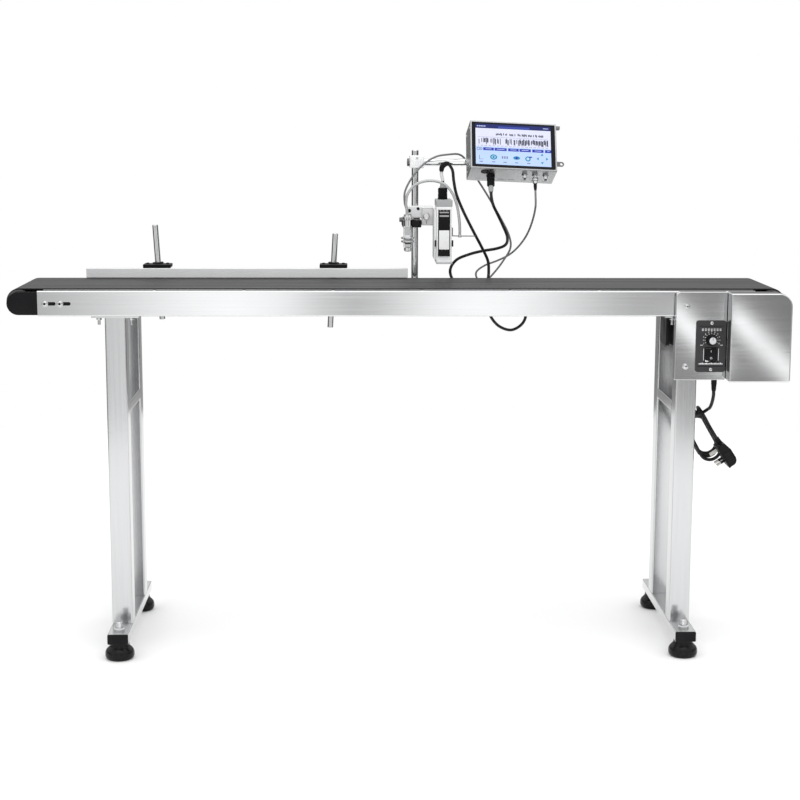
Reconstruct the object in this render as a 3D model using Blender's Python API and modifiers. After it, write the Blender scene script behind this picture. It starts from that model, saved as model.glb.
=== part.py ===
"""Date code inkjet printer: a belt conveyor on two legs that carries a print head.

The belt runs along X, the operator stands at -Y, +Z is up, and the origin is on the
floor under the middle of the machine. All lengths are in metres.
"""

import math

import bmesh
import bpy
from mathutils import Euler, Matrix, Vector

MODEL_NAME = "date_code_inkjet_printer"
GAP = 0.0003  # clearance between neighbouring solids

# Conveyor frame
RAIL_HALF_LENGTH = 0.6805
RAIL_OUTER_Y = 0.127
RAIL_BOTTOM = 0.6583
RAIL_TOP = 0.7067
RAIL_FLANGE = 0.018
SHEET = 0.002
ROLLER_X = 0.7172
ROLLER_Z = 0.6846
BELT_OUTER_R = 0.0252
BELT_THICKNESS = 0.002
BELT_HALF_WIDTH = 0.106
ROLLER_R = BELT_OUTER_R - BELT_THICKNESS - GAP
JOURNAL_R = 0.006
DRIVE_SHAFT_R = 0.0075
BEARING_Z = (RAIL_BOTTOM + RAIL_TOP) / 2
BEARING_R = (RAIL_TOP - RAIL_BOTTOM) / 2 - SHEET - GAP
BEARING_REACH = 0.105
BEARING_INNER_Y = 0.109
SLOT_WIDTH = 0.0066
SLOT_LENGTH = 0.0235
TENSION_BOLT_X = (-0.6663, -0.6381)
TENSION_BOLT_R = 0.003
TENSION_TRAVEL = 0.014

# Legs
LEG_X = {"left": -0.5362, "right": 0.5557}
POST_Y = {"front": -0.0986, "rear": 0.0986}
POST_SIZE = 0.040
TUBE_WALL = 0.002
BASE_BAR_BOTTOM = 0.034
BASE_BAR_TOP = 0.054
BASE_BAR_HALF_LENGTH = 0.190
CROSSBAR_BOTTOM = 0.467
CROSSBAR_HEIGHT = 0.020
TOP_PLATE_SIZE = (0.090, 0.244, 0.003)
FOOT_Y = 0.165
FOOT_STUD_R = 0.006

# Drive housing
PLATE_Y = -0.1273
PLATE_THICKNESS = 0.0027
COVER_BACK_Y = PLATE_Y - PLATE_THICKNESS - GAP
COVER_BOTTOM = 0.538
CONTROL_COVER_X = (0.5275, 0.6250)
CONTROL_COVER_FRONT = -0.1425
DRIVE_COVER_X = (0.6256, 0.7420)
DRIVE_COVER_FRONT = -0.175
COVER_WALL = 0.0015
COVER_CORNER_R = 0.025
MOTOR_AXIS = (0.000, 0.621)
MOTOR_SIZE = 0.066
OUTPUT_SHAFT = (0.672, 0.590)
SPROCKET_R = 0.015
CHAIN_THICKNESS = 0.004
CHAIN_Y = (-0.155, -0.149)

# Speed controller
PANEL_X = (0.5665, 0.6240)
PANEL_Z = (0.5535, 0.6528)
PANEL_THICKNESS = 0.0025
MODULE_X = (0.5772, 0.6165)
MODULE_Z = (0.5572, 0.6495)
MODULE_BACK = -0.080
KNOB_CENTRE = (0.5960, 0.6155)
KNOB_R = 0.011
SWITCH_CENTRE = (0.5960, 0.5870)
SWITCH_POCKET = (0.022, 0.0268)
SWITCH_TILT = math.radians(8)
PANEL_BACK = CONTROL_COVER_FRONT - GAP
PANEL_FRONT = PANEL_BACK - PANEL_THICKNESS

# Guide rail
GUIDE_X = (-0.621, 0.025)
GUIDE_Y = (0.090, 0.100)
GUIDE_Z = (0.7110, 0.7305)
ROD_Y = 0.117
ROD_R = 0.0058
ROD_HOLE_R = 0.0082
ROD_LEAN = math.radians(3.3)
# name: (X at the belt's level, Z of the lower end, Z of the upper end, lean direction)
RODS = {
    "left": (-0.4795, 0.624, 0.816, -1),
    "right": (-0.1250, 0.607, 0.799, 1),
}
ROD_LEVEL = 0.731

# Stand
POST_X = 0.041
STAND_Y = 0.150
STAND_R = 0.007
STAND_Z = (0.640, 0.966)
ARM_X = (0.0265, 0.300)
ARM_Y = 0.128
ARM_Z = 0.9415
ARM_R = 0.0075
SENSOR_CENTRE = (0.0245, 0.080)
SENSOR_R = 0.009

# Print head
HEAD_LOW = (0.081, 0.062, 0.746)
HEAD_HIGH = (0.112, 0.132, 0.869)
CARTRIDGE_LOW = (0.0855, 0.0590, 0.7575)
CARTRIDGE_HIGH = (0.1075, 0.0990, 0.8495)
CONNECTOR_XY = (0.0950, 0.100)
CONNECTOR_TOP = 0.900
TIP_BAR_Z = 0.797
TIP_BAR_Y = 0.070
TIP_BAR_R = 0.0013

# Controller, described in its own frame: X across, Y towards the back, Z up the screen
CASE_CENTRE = Vector((0.2304, 0.0850, 0.9629))
CASE_SIZE = Vector((0.1729, 0.060, 0.1031))
CASE_TURN = Euler((math.radians(-26.64), math.radians(2.88), math.radians(5.22)), "YXZ")
SCREEN_SIZE = (0.1665, 0.0965)
SCREEN_THICKNESS = 0.0022

# Cords
HEAD_CABLE_R = 0.003
SENSOR_LEAD_R = 0.002
SLEEVE_R = 0.00275
POWER_CORD_R = 0.00325
GLAND_XY = (0.6055, -0.1359)
GLAND_BOTTOM = 0.516
HANK_CENTRE = Vector((0.6004, -0.0588, 0.4155))
HANK_TILT = math.radians(-30)
HANK_SIZE = (0.048, 0.110)
HANK_THICKNESS = 0.0334
PLUG_PLACE = Matrix.Translation((0.6400, -0.1000, 0.3890)) @ Matrix.Rotation(math.radians(-33), 4, "Y")
PLUG_TAIL = ((0.6222, -0.0998, 0.4165), (0.6112, -0.0780, 0.4322))

HEAD_CABLE_UPPER = [
    (0.1910, 0.1325, 0.6905),
    (0.1910, 0.1328, 0.7040),
    (0.1922, 0.1345, 0.7200),
    (0.1900, 0.1345, 0.7430),
    (0.1760, 0.1280, 0.7720),
    (0.1600, 0.1200, 0.8010),
    (0.1380, 0.1080, 0.8430),
    (0.1230, 0.1000, 0.8780),
    (0.1170, 0.0970, 0.9050),
    (0.1140, 0.0955, 0.9270),
    (0.1045, 0.0950, 0.9395),
    (0.0940, 0.0965, 0.9340),
    (0.0922, 0.0985, 0.9190),
    (0.0948, 0.0999, 0.9080),
    (0.0950, 0.1000, 0.9005),
]
HEAD_CABLE_LOWER = [
    (0.1882, 0.0608, 0.9171),
    (0.1880, 0.0497, 0.8954),
    (0.1885, 0.0410, 0.8760),
    (0.1925, 0.0410, 0.8600),
    (0.2020, 0.0540, 0.8420),
    (0.2155, 0.0780, 0.8170),
    (0.2265, 0.1020, 0.7930),
    (0.2250, 0.1210, 0.7760),
    (0.2080, 0.1360, 0.7670),
    (0.1800, 0.1440, 0.7615),
    (0.1520, 0.1470, 0.7540),
    (0.1260, 0.1490, 0.7420),
    (0.1140, 0.1500, 0.7200),
    (0.1250, 0.1510, 0.6960),
    (0.1600, 0.1510, 0.6790),
    (0.2050, 0.1510, 0.6690),
    (0.2470, 0.1510, 0.6560),
    (0.2700, 0.1500, 0.6350),
    (0.2650, 0.1490, 0.6120),
    (0.2420, 0.1480, 0.5980),
    (0.2160, 0.1470, 0.6060),
    (0.1980, 0.1440, 0.6270),
    (0.1905, 0.1380, 0.6540),
    (0.1908, 0.1328, 0.6760),
    (0.1910, 0.1325, 0.6895),
]
SENSOR_LEAD = [
    (0.0225, 0.0835, 0.8400),
    (0.0222, 0.0835, 0.8480),
    (0.0180, 0.0838, 0.8640),
    (0.0195, 0.0860, 0.8870),
    (0.0355, 0.0920, 0.9150),
    (0.0570, 0.0980, 0.9370),
    (0.0820, 0.1020, 0.9510),
    (0.1080, 0.1090, 0.9560),
    (0.1290, 0.1250, 0.9570),
    (0.1440, 0.1420, 0.9460),
    (0.1560, 0.1500, 0.9260),
    (0.1700, 0.1510, 0.9040),
    (0.1900, 0.1520, 0.8730),
    (0.2180, 0.1540, 0.8260),
    (0.2350, 0.1560, 0.7920),
    (0.2380, 0.1570, 0.7660),
    (0.2230, 0.1580, 0.7390),
    (0.2060, 0.1600, 0.7160),
    (0.1900, 0.1630, 0.7000),
    (0.1740, 0.1670, 0.6990),
    (0.1690, 0.1700, 0.7150),
    (0.1860, 0.1710, 0.7290),
    (0.2130, 0.1670, 0.7400),
    (0.2370, 0.1540, 0.7540),
    (0.2540, 0.1290, 0.7740),
    (0.2660, 0.0960, 0.7990),
    (0.2730, 0.0640, 0.8280),
    (0.2765, 0.0440, 0.8560),
    (0.2762, 0.0420, 0.8780),
    (0.2759, 0.0485, 0.8980),
    (0.2761, 0.0586, 0.9177),
]
SLEEVE = [
    (0.0225, 0.0760, 0.8400),
    (0.0224, 0.0758, 0.8480),
    (0.0205, 0.0745, 0.8620),
    (0.0245, 0.0725, 0.8820),
    (0.0410, 0.0700, 0.9000),
    (0.0680, 0.0680, 0.9070),
    (0.0950, 0.0660, 0.9010),
    (0.1120, 0.0650, 0.8830),
    (0.1220, 0.0660, 0.8580),
    (0.1270, 0.0690, 0.8290),
    (0.1283, 0.0700, 0.8100),
    (0.1283, 0.0700, 0.7990),
]
POWER_CORD = [
    (0.6055, -0.1359, 0.5155),
    (0.6055, -0.1357, 0.5070),
    (0.6044, -0.1325, 0.4950),
    (0.6040, -0.1210, 0.4840),
    (0.6050, -0.1050, 0.4770),
    (0.6062, -0.0890, 0.4730),
    (0.6064, -0.0770, 0.4700),
    (0.6045, -0.0724, 0.4652),
    (0.6010, -0.0722, 0.4607),
]


def clear_scene():
    for item in list(bpy.data.objects):
        bpy.data.objects.remove(item, do_unlink=True)


def make_collection(name):
    collection = bpy.data.collections.new(name)
    bpy.context.scene.collection.children.link(collection)
    return collection


def make_material(name, colour, roughness, metallic=0.0):
    material = bpy.data.materials.new(name)
    material.use_nodes = True
    shader = material.node_tree.nodes["Principled BSDF"]
    shader.inputs["Base Color"].default_value = (*colour, 1.0)
    shader.inputs["Roughness"].default_value = roughness
    shader.inputs["Metallic"].default_value = metallic
    return material


def add_object(name, mesh, finish=None):
    """Links a part, or a cutter when it has no finish."""
    item = bpy.data.objects.new(name, mesh)
    if finish is None:
        CUTTERS.objects.link(item)
        item.hide_render = True
        item.display_type = "WIRE"
    else:
        PARTS.objects.link(item)
        mesh.materials.append(make_material(name + "_finish", *finish))
    return item


def mesh_from(name, build):
    mesh = bpy.data.meshes.new(name)
    shape = bmesh.new()
    build(shape)
    shape.to_mesh(mesh)
    shape.free()
    return mesh


def block(name, low, high, finish=None, bevel=0.0, frame=None):
    """A box between two corners, in the world or in the given frame."""
    low, high = Vector(low), Vector(high)
    size = high - low

    def build(shape):
        bmesh.ops.create_cube(shape, size=1.0, matrix=Matrix.Diagonal((*size, 1.0)))

    item = add_object(name, mesh_from(name, build), finish)
    item.matrix_world = (frame or Matrix()) @ Matrix.Translation((low + high) / 2)
    if bevel:
        add_bevel(item, bevel)
    return item


def add_bevel(item, width, segments=2):
    bevel = item.modifiers.new("Bevel", "BEVEL")
    bevel.width = width
    bevel.segments = segments
    bevel.limit_method = "ANGLE"


def rod(name, start, end, radius, finish=None, sides=24):
    """A round bar between two points."""
    start, end = Vector(start), Vector(end)
    direction = end - start

    def build(shape):
        bmesh.ops.create_cone(
            shape,
            cap_ends=True,
            segments=sides,
            radius1=radius,
            radius2=radius,
            depth=direction.length,
        )

    mesh = mesh_from(name, build)
    mesh.shade_smooth()
    mesh.set_sharp_from_angle(angle=math.radians(40))
    item = add_object(name, mesh, finish)
    turn = Vector((0, 0, 1)).rotation_difference(direction).to_matrix().to_4x4()
    item.matrix_world = Matrix.Translation((start + end) / 2) @ turn
    return item


def turned(name, profile, base, direction, finish=None, steps=24):
    """A lathe shape: the profile is (radius, distance along the axis), from the top down."""
    mesh = bpy.data.meshes.new(name)
    points = [(radius, 0.0, along) for radius, along in profile]
    edges = [(i, i + 1) for i in range(len(points) - 1)]
    mesh.from_pydata(points, edges, [])
    item = add_object(name, mesh, finish)
    screw = item.modifiers.new("Screw", "SCREW")
    screw.steps = steps
    screw.render_steps = steps
    screw.use_merge_vertices = True
    screw.merge_threshold = 0.00001
    screw.use_smooth_shade = True
    turn = Vector((0, 0, 1)).rotation_difference(Vector(direction)).to_matrix().to_4x4()
    item.matrix_world = Matrix.Translation(base) @ turn
    return item


PRISM_TURN = {
    "X": Euler((math.pi / 2, 0, math.pi / 2)),
    "Y": Euler((math.pi / 2, 0, 0)),
    "Z": Euler((0, 0, 0)),
}


def prism(name, outlines, axis, start, end, finish=None, frame=None):
    """Extrudes closed outlines along X, Y or Z; inner outlines are holes.

    The outline's two coordinates are (Y, Z), (X, Z) and (X, Y) for the three axes.
    """
    curve = bpy.data.curves.new(name, "CURVE")
    curve.dimensions = "2D"
    curve.fill_mode = "BOTH"
    curve.extrude = abs(end - start) / 2
    for outline in outlines:
        spline = curve.splines.new("POLY")
        spline.points.add(len(outline) - 1)
        for point, (u, v) in zip(spline.points, outline):
            point.co = (u, v, 0.0, 1.0)
        spline.use_cyclic_u = True
    centre = Vector((0, 0, 0))
    centre["XYZ".index(axis)] = (start + end) / 2
    place = Matrix.Translation(centre) @ PRISM_TURN[axis].to_matrix().to_4x4()
    return mesh_of_curve(name, curve, (frame or Matrix()) @ place, finish)


def mesh_of_curve(name, curve, place, finish):
    guide = bpy.data.objects.new(name + "_curve", curve)
    bpy.context.scene.collection.objects.link(guide)
    guide.matrix_world = place
    bpy.context.view_layer.update()
    evaluated = guide.evaluated_get(bpy.context.evaluated_depsgraph_get())
    mesh = bpy.data.meshes.new_from_object(evaluated)
    mesh.name = name
    mesh.materials.clear()
    weld_caps(mesh)
    bpy.data.objects.remove(guide, do_unlink=True)
    bpy.data.curves.remove(curve)
    item = add_object(name, mesh, finish)
    item.matrix_world = place
    return item


def weld_caps(mesh):
    shape = bmesh.new()
    shape.from_mesh(mesh)
    bmesh.ops.remove_doubles(shape, verts=shape.verts, dist=0.00001)
    bmesh.ops.recalc_face_normals(shape, faces=shape.faces)
    shape.to_mesh(mesh)
    shape.free()


def rectangle(low, high):
    return [low, (high[0], low[1]), high, (low[0], high[1])]


def arc(centre, radius, start_degrees, end_degrees, steps):
    points = []
    for i in range(steps + 1):
        angle = math.radians(start_degrees + (end_degrees - start_degrees) * i / steps)
        points.append(
            (centre[0] + radius * math.cos(angle), centre[1] + radius * math.sin(angle))
        )
    return points


def circle(centre, radius, sides=24):
    return arc(centre, radius, 0, 360, sides)[:-1]


def rounded_rectangle(low, high, radii, steps=6):
    """Corner radii run anticlockwise from the lower left corner."""
    corners = [(low[0], low[1]), (high[0], low[1]), (high[0], high[1]), (low[0], high[1])]
    inward = [(1, 1), (-1, 1), (-1, -1), (1, -1)]
    points = []
    for index, (corner, side, radius) in enumerate(zip(corners, inward, radii)):
        if radius == 0:
            points.append(corner)
            continue
        centre = (corner[0] + side[0] * radius, corner[1] + side[1] * radius)
        first = 180 + 90 * index
        points += arc(centre, radius, first, first + 90, steps)
    return points


def loop_around(first, second, radius, steps=14):
    """The outline of a band that runs around two equal circles."""
    tilt = math.degrees(math.atan2(second[1] - first[1], second[0] - first[0]))
    near = arc(first, radius, tilt + 90, tilt + 270, steps)
    far = arc(second, radius, tilt - 90, tilt + 90, steps)
    return near + far


def subtract(item, cutter):
    join(item, cutter, "DIFFERENCE")


def unite(item, other):
    join(item, other, "UNION")


def join(item, other, operation):
    boolean = item.modifiers.new(operation.title(), "BOOLEAN")
    boolean.operation = operation
    boolean.object = other


def smooth_route(route, spacing):
    """Evenly spaced points on the smooth curve through the route's points."""
    points = [Vector(p) for p in route]
    ends = [2 * points[0] - points[1], *points, 2 * points[-1] - points[-2]]
    fine = []
    for before, start, end, after in zip(ends, ends[1:], ends[2:], ends[3:]):
        for i in range(16):
            t = i / 16
            fine.append(
                0.5
                * (
                    2 * start
                    + (end - before) * t
                    + (2 * before - 5 * start + 4 * end - after) * t**2
                    + (3 * start - before - 3 * end + after) * t**3
                )
            )
    fine.append(points[-1])
    along = [0.0]
    for a, b in zip(fine, fine[1:]):
        along.append(along[-1] + (b - a).length)
    count = max(2, round(along[-1] / spacing))
    spaced = []
    index = 0
    for i in range(count + 1):
        target = along[-1] * i / count
        while index < len(fine) - 2 and along[index + 1] < target:
            index += 1
        span = along[index + 1] - along[index]
        share = (target - along[index]) / span
        spaced.append(fine[index].lerp(fine[index + 1], share))
    return spaced


def cord(name, route, radius, spacing, finish):
    curve = bpy.data.curves.new(name, "CURVE")
    curve.dimensions = "3D"
    curve.bevel_depth = radius
    curve.bevel_resolution = 2
    curve.use_fill_caps = True
    points = smooth_route(route, spacing)
    spline = curve.splines.new("POLY")
    spline.points.add(len(points) - 1)
    for spline_point, point in zip(spline.points, points):
        spline_point.co = (*point, 1.0)
    return mesh_of_curve(name, curve, Matrix(), finish)


def pivot(name, location, *pieces):
    """An empty on a joint's axis that carries the pieces which move together."""
    empty = bpy.data.objects.new(name, None)
    PARTS.objects.link(empty)
    empty.location = location
    bpy.context.view_layer.update()
    for piece in pieces:
        piece.parent = empty
        piece.matrix_parent_inverse = empty.matrix_world.inverted()


STAINLESS = ((0.62, 0.63, 0.64), 0.28, 1.0)
POLISHED = ((0.72, 0.73, 0.74), 0.12, 1.0)
CHROME = ((0.80, 0.80, 0.81), 0.08, 1.0)
DARK_STEEL = ((0.20, 0.20, 0.21), 0.45, 1.0)
BLACK_PLASTIC = ((0.012, 0.012, 0.013), 0.42, 0.0)
BLACK_RUBBER = ((0.010, 0.010, 0.010), 0.70, 0.0)
BELT_PVC = ((0.075, 0.076, 0.078), 0.62, 0.0)
MOTOR_PAINT = ((0.022, 0.022, 0.024), 0.50, 0.0)
SILVER_ALUMINIUM = ((0.78, 0.79, 0.80), 0.33, 1.0)
CASE_ALUMINIUM = ((0.50, 0.51, 0.52), 0.38, 1.0)
WHITE_PAINT = ((0.82, 0.83, 0.84), 0.35, 0.0)
SCREEN_GLASS = ((0.010, 0.011, 0.014), 0.08, 0.0)
GREY_CORD = ((0.16, 0.16, 0.17), 0.50, 0.0)
CLEAR_SLEEVE = ((0.60, 0.61, 0.62), 0.22, 0.6)


def make_rail(name, side):
    """A channel open towards the belt, with tension slots; side is -1 in front."""
    outer, inner = side * RAIL_OUTER_Y, side * (RAIL_OUTER_Y - SHEET)
    lip = side * (RAIL_OUTER_Y - RAIL_FLANGE)
    outline = [
        (outer, RAIL_BOTTOM),
        (lip, RAIL_BOTTOM),
        (lip, RAIL_BOTTOM + SHEET),
        (inner, RAIL_BOTTOM + SHEET),
        (inner, RAIL_TOP - SHEET),
        (lip, RAIL_TOP - SHEET),
        (lip, RAIL_TOP),
        (outer, RAIL_TOP),
    ]
    rail = prism(name, [outline], "X", -RAIL_HALF_LENGTH, RAIL_HALF_LENGTH, STAINLESS)
    cuts = sorted((side * (RAIL_OUTER_Y + 0.001), side * (RAIL_OUTER_Y - 0.004)))
    for number, bolt_x in enumerate(TENSION_BOLT_X):
        left = bolt_x - TENSION_BOLT_R - GAP
        right = left + SLOT_LENGTH
        centres = (
            (left + SLOT_WIDTH / 2, BEARING_Z),
            (right - SLOT_WIDTH / 2, BEARING_Z),
        )
        slot = loop_around(*centres, SLOT_WIDTH / 2, steps=6)
        subtract(rail, prism(f"{name}_slot_{number}", [slot], "Y", *cuts))
    return rail


def drill_rod_holes(rail):
    for name in RODS:
        for flange_z in (RAIL_BOTTOM, RAIL_TOP - SHEET):
            x = rod_x(name, flange_z + SHEET / 2)
            low, high = (x, ROD_Y, flange_z - 0.001), (x, ROD_Y, flange_z + 0.003)
            subtract(rail, rod(f"{name}_hole_{flange_z:.3f}", low, high, ROD_HOLE_R))


def rod_x(name, z):
    level_x, _, _, lean = RODS[name]
    return level_x + lean * math.tan(ROD_LEAN) * (z - ROD_LEVEL)


def make_bed_plate():
    top = ROLLER_Z + BELT_OUTER_R - BELT_THICKNESS - 0.0004
    half, wall, drop = BEARING_INNER_Y - GAP, 0.0022, 0.018
    outline = [
        (-half, top),
        (-half, top - drop),
        (-half + wall, top - drop),
        (-half + wall, top - wall),
        (half - wall, top - wall),
        (half - wall, top - drop),
        (half, top - drop),
        (half, top),
    ]
    drive_end = ROLLER_X - BELT_OUTER_R - 0.006
    tail_end = TENSION_TRAVEL - drive_end
    prism("bed_plate", [outline], "X", tail_end, drive_end, STAINLESS)


def make_belt():
    ends = ((-ROLLER_X, ROLLER_Z), (ROLLER_X, ROLLER_Z))
    outer = loop_around(*ends, BELT_OUTER_R)
    inner = loop_around(*ends, BELT_OUTER_R - BELT_THICKNESS)
    prism(
        "conveyor_belt", [outer, inner], "Y", -BELT_HALF_WIDTH, BELT_HALF_WIDTH, BELT_PVC
    )


def make_end_bracket(name, end, side, bore_r, finish):
    """The rounded block that carries a roller's journal; end and side are -1 or 1."""
    nose = arc((end * ROLLER_X, BEARING_Z), BEARING_R, 90, 270, 12)
    if end > 0:
        nose = arc((end * ROLLER_X, BEARING_Z), BEARING_R, -90, 90, 12)
    back_x = end * (ROLLER_X - BEARING_REACH)
    low, high = BEARING_Z - BEARING_R, BEARING_Z + BEARING_R
    tail = [(back_x, low), (back_x, high)] if end < 0 else [(back_x, high), (back_x, low)]
    faces = sorted((side * BEARING_INNER_Y, side * (RAIL_OUTER_Y - SHEET - GAP)))
    bore = circle((end * ROLLER_X, ROLLER_Z), bore_r)
    return prism(name, [nose + tail, bore], "Y", *faces, finish)


def make_tail_bracket(name, side):
    bracket = make_end_bracket(name, -1, side, JOURNAL_R + GAP, BLACK_PLASTIC)
    inner, outer = RAIL_OUTER_Y - SHEET - 0.004, RAIL_OUTER_Y + 0.0005
    for number, bolt_x in enumerate(TENSION_BOLT_X):
        ends = [(bolt_x, side * y, BEARING_Z) for y in (inner, outer)]
        bolt = rod(f"{name}_bolt_{number}", *ends, TENSION_BOLT_R, sides=12)
        unite(bracket, bolt)
    return bracket


def make_tail_end():
    brackets = [make_tail_bracket("tail_bracket_front", -1)]
    brackets.append(make_tail_bracket("tail_bracket_rear", 1))
    journal_end, face = RAIL_OUTER_Y - SHEET - 0.002, BEARING_INNER_Y - 0.0015
    profile = [
        (0, journal_end),
        (JOURNAL_R, journal_end),
        (JOURNAL_R, face),
        (ROLLER_R, face),
        (ROLLER_R, -face),
        (JOURNAL_R, -face),
        (JOURNAL_R, -journal_end),
        (0, -journal_end),
    ]
    roller = turned("tail_roller", profile, (-ROLLER_X, 0, ROLLER_Z), (0, 1, 0), DARK_STEEL)
    pivot("tail_tensioner_pivot", (-ROLLER_X, 0, ROLLER_Z), *brackets, roller)


def make_drive_end():
    for name, side in (("front", -1), ("rear", 1)):
        bore_r = DRIVE_SHAFT_R + GAP
        make_end_bracket(f"drive_bearing_{name}", 1, side, bore_r, BLACK_PLASTIC)
    front_end, rear_end, face = 0.163, RAIL_OUTER_Y - SHEET - 0.002, BEARING_INNER_Y - 0.0015
    profile = [
        (0, rear_end),
        (DRIVE_SHAFT_R, rear_end),
        (DRIVE_SHAFT_R, face),
        (ROLLER_R, face),
        (ROLLER_R, -face),
        (DRIVE_SHAFT_R, -face),
        (DRIVE_SHAFT_R, -front_end),
        (0, -front_end),
    ]
    base = (ROLLER_X, 0, ROLLER_Z)
    turned("drive_roller", profile, base, (0, 1, 0), DARK_STEEL)


def make_chain_drive():
    """Two equal sprockets, each a rim with a hub towards the machine, and the chain around them."""
    half_rim, hub_end, hub_r = 0.0022, 0.014, 0.0115
    rim_and_hub = [(hub_r, hub_end), (hub_r, half_rim), (SPROCKET_R, half_rim), (SPROCKET_R, -half_rim)]
    chain_centre = sum(CHAIN_Y) / 2
    bore_r = DRIVE_SHAFT_R + GAP
    profile = [(bore_r, hub_end), *rim_and_hub, (bore_r, -half_rim), (bore_r, hub_end)]
    turned("roller_sprocket", profile, (ROLLER_X, chain_centre, ROLLER_Z), (0, 1, 0), DARK_STEEL)
    shaft_r, inner_end, outer_end = 0.007, 0.080, -0.012
    profile = [
        (0, inner_end),
        (shaft_r, inner_end),
        (shaft_r, hub_end),
        *rim_and_hub,
        (shaft_r, -half_rim),
        (shaft_r, outer_end),
        (0, outer_end),
    ]
    base = (OUTPUT_SHAFT[0], chain_centre, OUTPUT_SHAFT[1])
    turned("motor_sprocket", profile, base, (0, 1, 0), DARK_STEEL)
    ends = (OUTPUT_SHAFT, (ROLLER_X, ROLLER_Z))
    inner_r = SPROCKET_R + 0.0004
    outer = loop_around(*ends, inner_r + CHAIN_THICKNESS)
    inner = loop_around(*ends, inner_r)
    prism("drive_chain", [outer, inner], "Y", *CHAIN_Y, DARK_STEEL)


def make_motor():
    half, corner = MOTOR_SIZE / 2, 0.010
    low = (MOTOR_AXIS[0] - half, MOTOR_AXIS[1] - half)
    high = (MOTOR_AXIS[0] + half, MOTOR_AXIS[1] + half)
    outline = rounded_rectangle(low, high, [corner] * 4, steps=4)
    prism("drive_motor", [outline], "X", 0.5295, 0.6180, MOTOR_PAINT)

    gearbox = block("gearbox", (0.6183, -0.040, 0.556), (0.706, 0.040, 0.6545), MOTOR_PAINT)
    x, z = OUTPUT_SHAFT
    boss = rod("gearbox_boss", (x, -0.030, z), (x, -0.1270, z), 0.026, sides=32)
    unite(gearbox, boss)
    bore = rod("gearbox_bore", (x, -0.070, z), (x, -0.140, z), 0.0074)
    subtract(gearbox, bore)


def make_side_plate():
    left, right = CONTROL_COVER_X[0] + 0.002, DRIVE_COVER_X[1] - 0.001
    low, high = (left, COVER_BOTTOM + 0.002), (right, RAIL_TOP - 0.001)
    outline = rounded_rectangle(low, high, (0, 0, COVER_CORNER_R, 0.006))
    opening = rectangle(
        (MODULE_X[0] - GAP, MODULE_Z[0] - GAP), (MODULE_X[1] + GAP, MODULE_Z[1] + GAP)
    )
    shaft_hole = circle((ROLLER_X, ROLLER_Z), 0.010)
    output_hole = circle(OUTPUT_SHAFT, 0.012)
    back = PLATE_Y - PLATE_THICKNESS
    holes = [opening, shaft_hole, output_hole]
    prism("side_plate", [outline, *holes], "Y", back, PLATE_Y, STAINLESS)


def make_cover(name, cover_x, front, radii):
    """A sheet pan that opens towards the machine."""
    low, high = (cover_x[0], COVER_BOTTOM), (cover_x[1], RAIL_TOP)
    outline = rounded_rectangle(low, high, radii)
    cover = prism(name, [outline], "Y", front, COVER_BACK_Y, POLISHED)
    inner_low = (low[0] + COVER_WALL, low[1] + COVER_WALL)
    inner_high = (high[0] - COVER_WALL, high[1] - COVER_WALL)
    inner_radii = [max(r - COVER_WALL, 0) for r in radii]
    inside = rounded_rectangle(inner_low, inner_high, inner_radii)
    cutter_ends = (front + COVER_WALL, COVER_BACK_Y + 0.005)
    subtract(cover, prism(name + "_inside", [inside], "Y", *cutter_ends))
    return cover


def make_covers():
    control = make_cover(
        "control_cover", CONTROL_COVER_X, CONTROL_COVER_FRONT, (0, 0, 0, 0.009)
    )
    low = (MODULE_X[0] - GAP, CONTROL_COVER_FRONT - 0.002, MODULE_Z[0] - GAP)
    high = (MODULE_X[1] + GAP, CONTROL_COVER_FRONT + 0.004, MODULE_Z[1] + GAP)
    subtract(control, block("module_opening", low, high))
    hole_top, hole_bottom = COVER_BOTTOM + 0.004, COVER_BOTTOM - 0.002
    ends = ((*GLAND_XY, hole_bottom), (*GLAND_XY, hole_top))
    subtract(control, rod("gland_hole", *ends, 0.0042))
    make_cover(
        "drive_cover", DRIVE_COVER_X, DRIVE_COVER_FRONT, (0, 0.003, COVER_CORNER_R, 0)
    )


def make_speed_controller():
    low, high = (PANEL_X[0], PANEL_Z[0]), (PANEL_X[1], PANEL_Z[1])
    outline = rounded_rectangle(low, high, [0.005] * 4, steps=4)
    panel = prism(
        "speed_controller", [outline], "Y", PANEL_FRONT, PANEL_BACK, BLACK_PLASTIC
    )
    low = (MODULE_X[0], PANEL_BACK - 0.001, MODULE_Z[0])
    high = (MODULE_X[1], MODULE_BACK, MODULE_Z[1])
    unite(panel, block("module_body", low, high))
    knob_x, knob_z = KNOB_CENTRE
    ends = ((knob_x, PANEL_FRONT - 0.002, knob_z), (knob_x, PANEL_FRONT + 0.013, knob_z))
    subtract(panel, rod("knob_bore", *ends, 0.0033))
    half_x, half_z = SWITCH_POCKET[0] / 2, SWITCH_POCKET[1] / 2
    low = (SWITCH_CENTRE[0] - half_x, PANEL_FRONT - 0.002, SWITCH_CENTRE[1] - half_z)
    high = (SWITCH_CENTRE[0] + half_x, PANEL_FRONT + 0.0085, SWITCH_CENTRE[1] + half_z)
    subtract(panel, block("switch_pocket", low, high))


def make_speed_knob():
    profile = [
        (0, 0.0145),
        (KNOB_R - 0.0035, 0.0145),
        (KNOB_R - 0.0025, 0.0135),
        (KNOB_R, 0.0015),
        (KNOB_R, 0.0006),
        (0.003, 0.0006),
        (0.003, -0.010),
        (0, -0.010),
    ]
    base = (KNOB_CENTRE[0], PANEL_FRONT, KNOB_CENTRE[1])
    turned("speed_knob", profile, base, (0, -1, 0), BLACK_PLASTIC)


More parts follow.
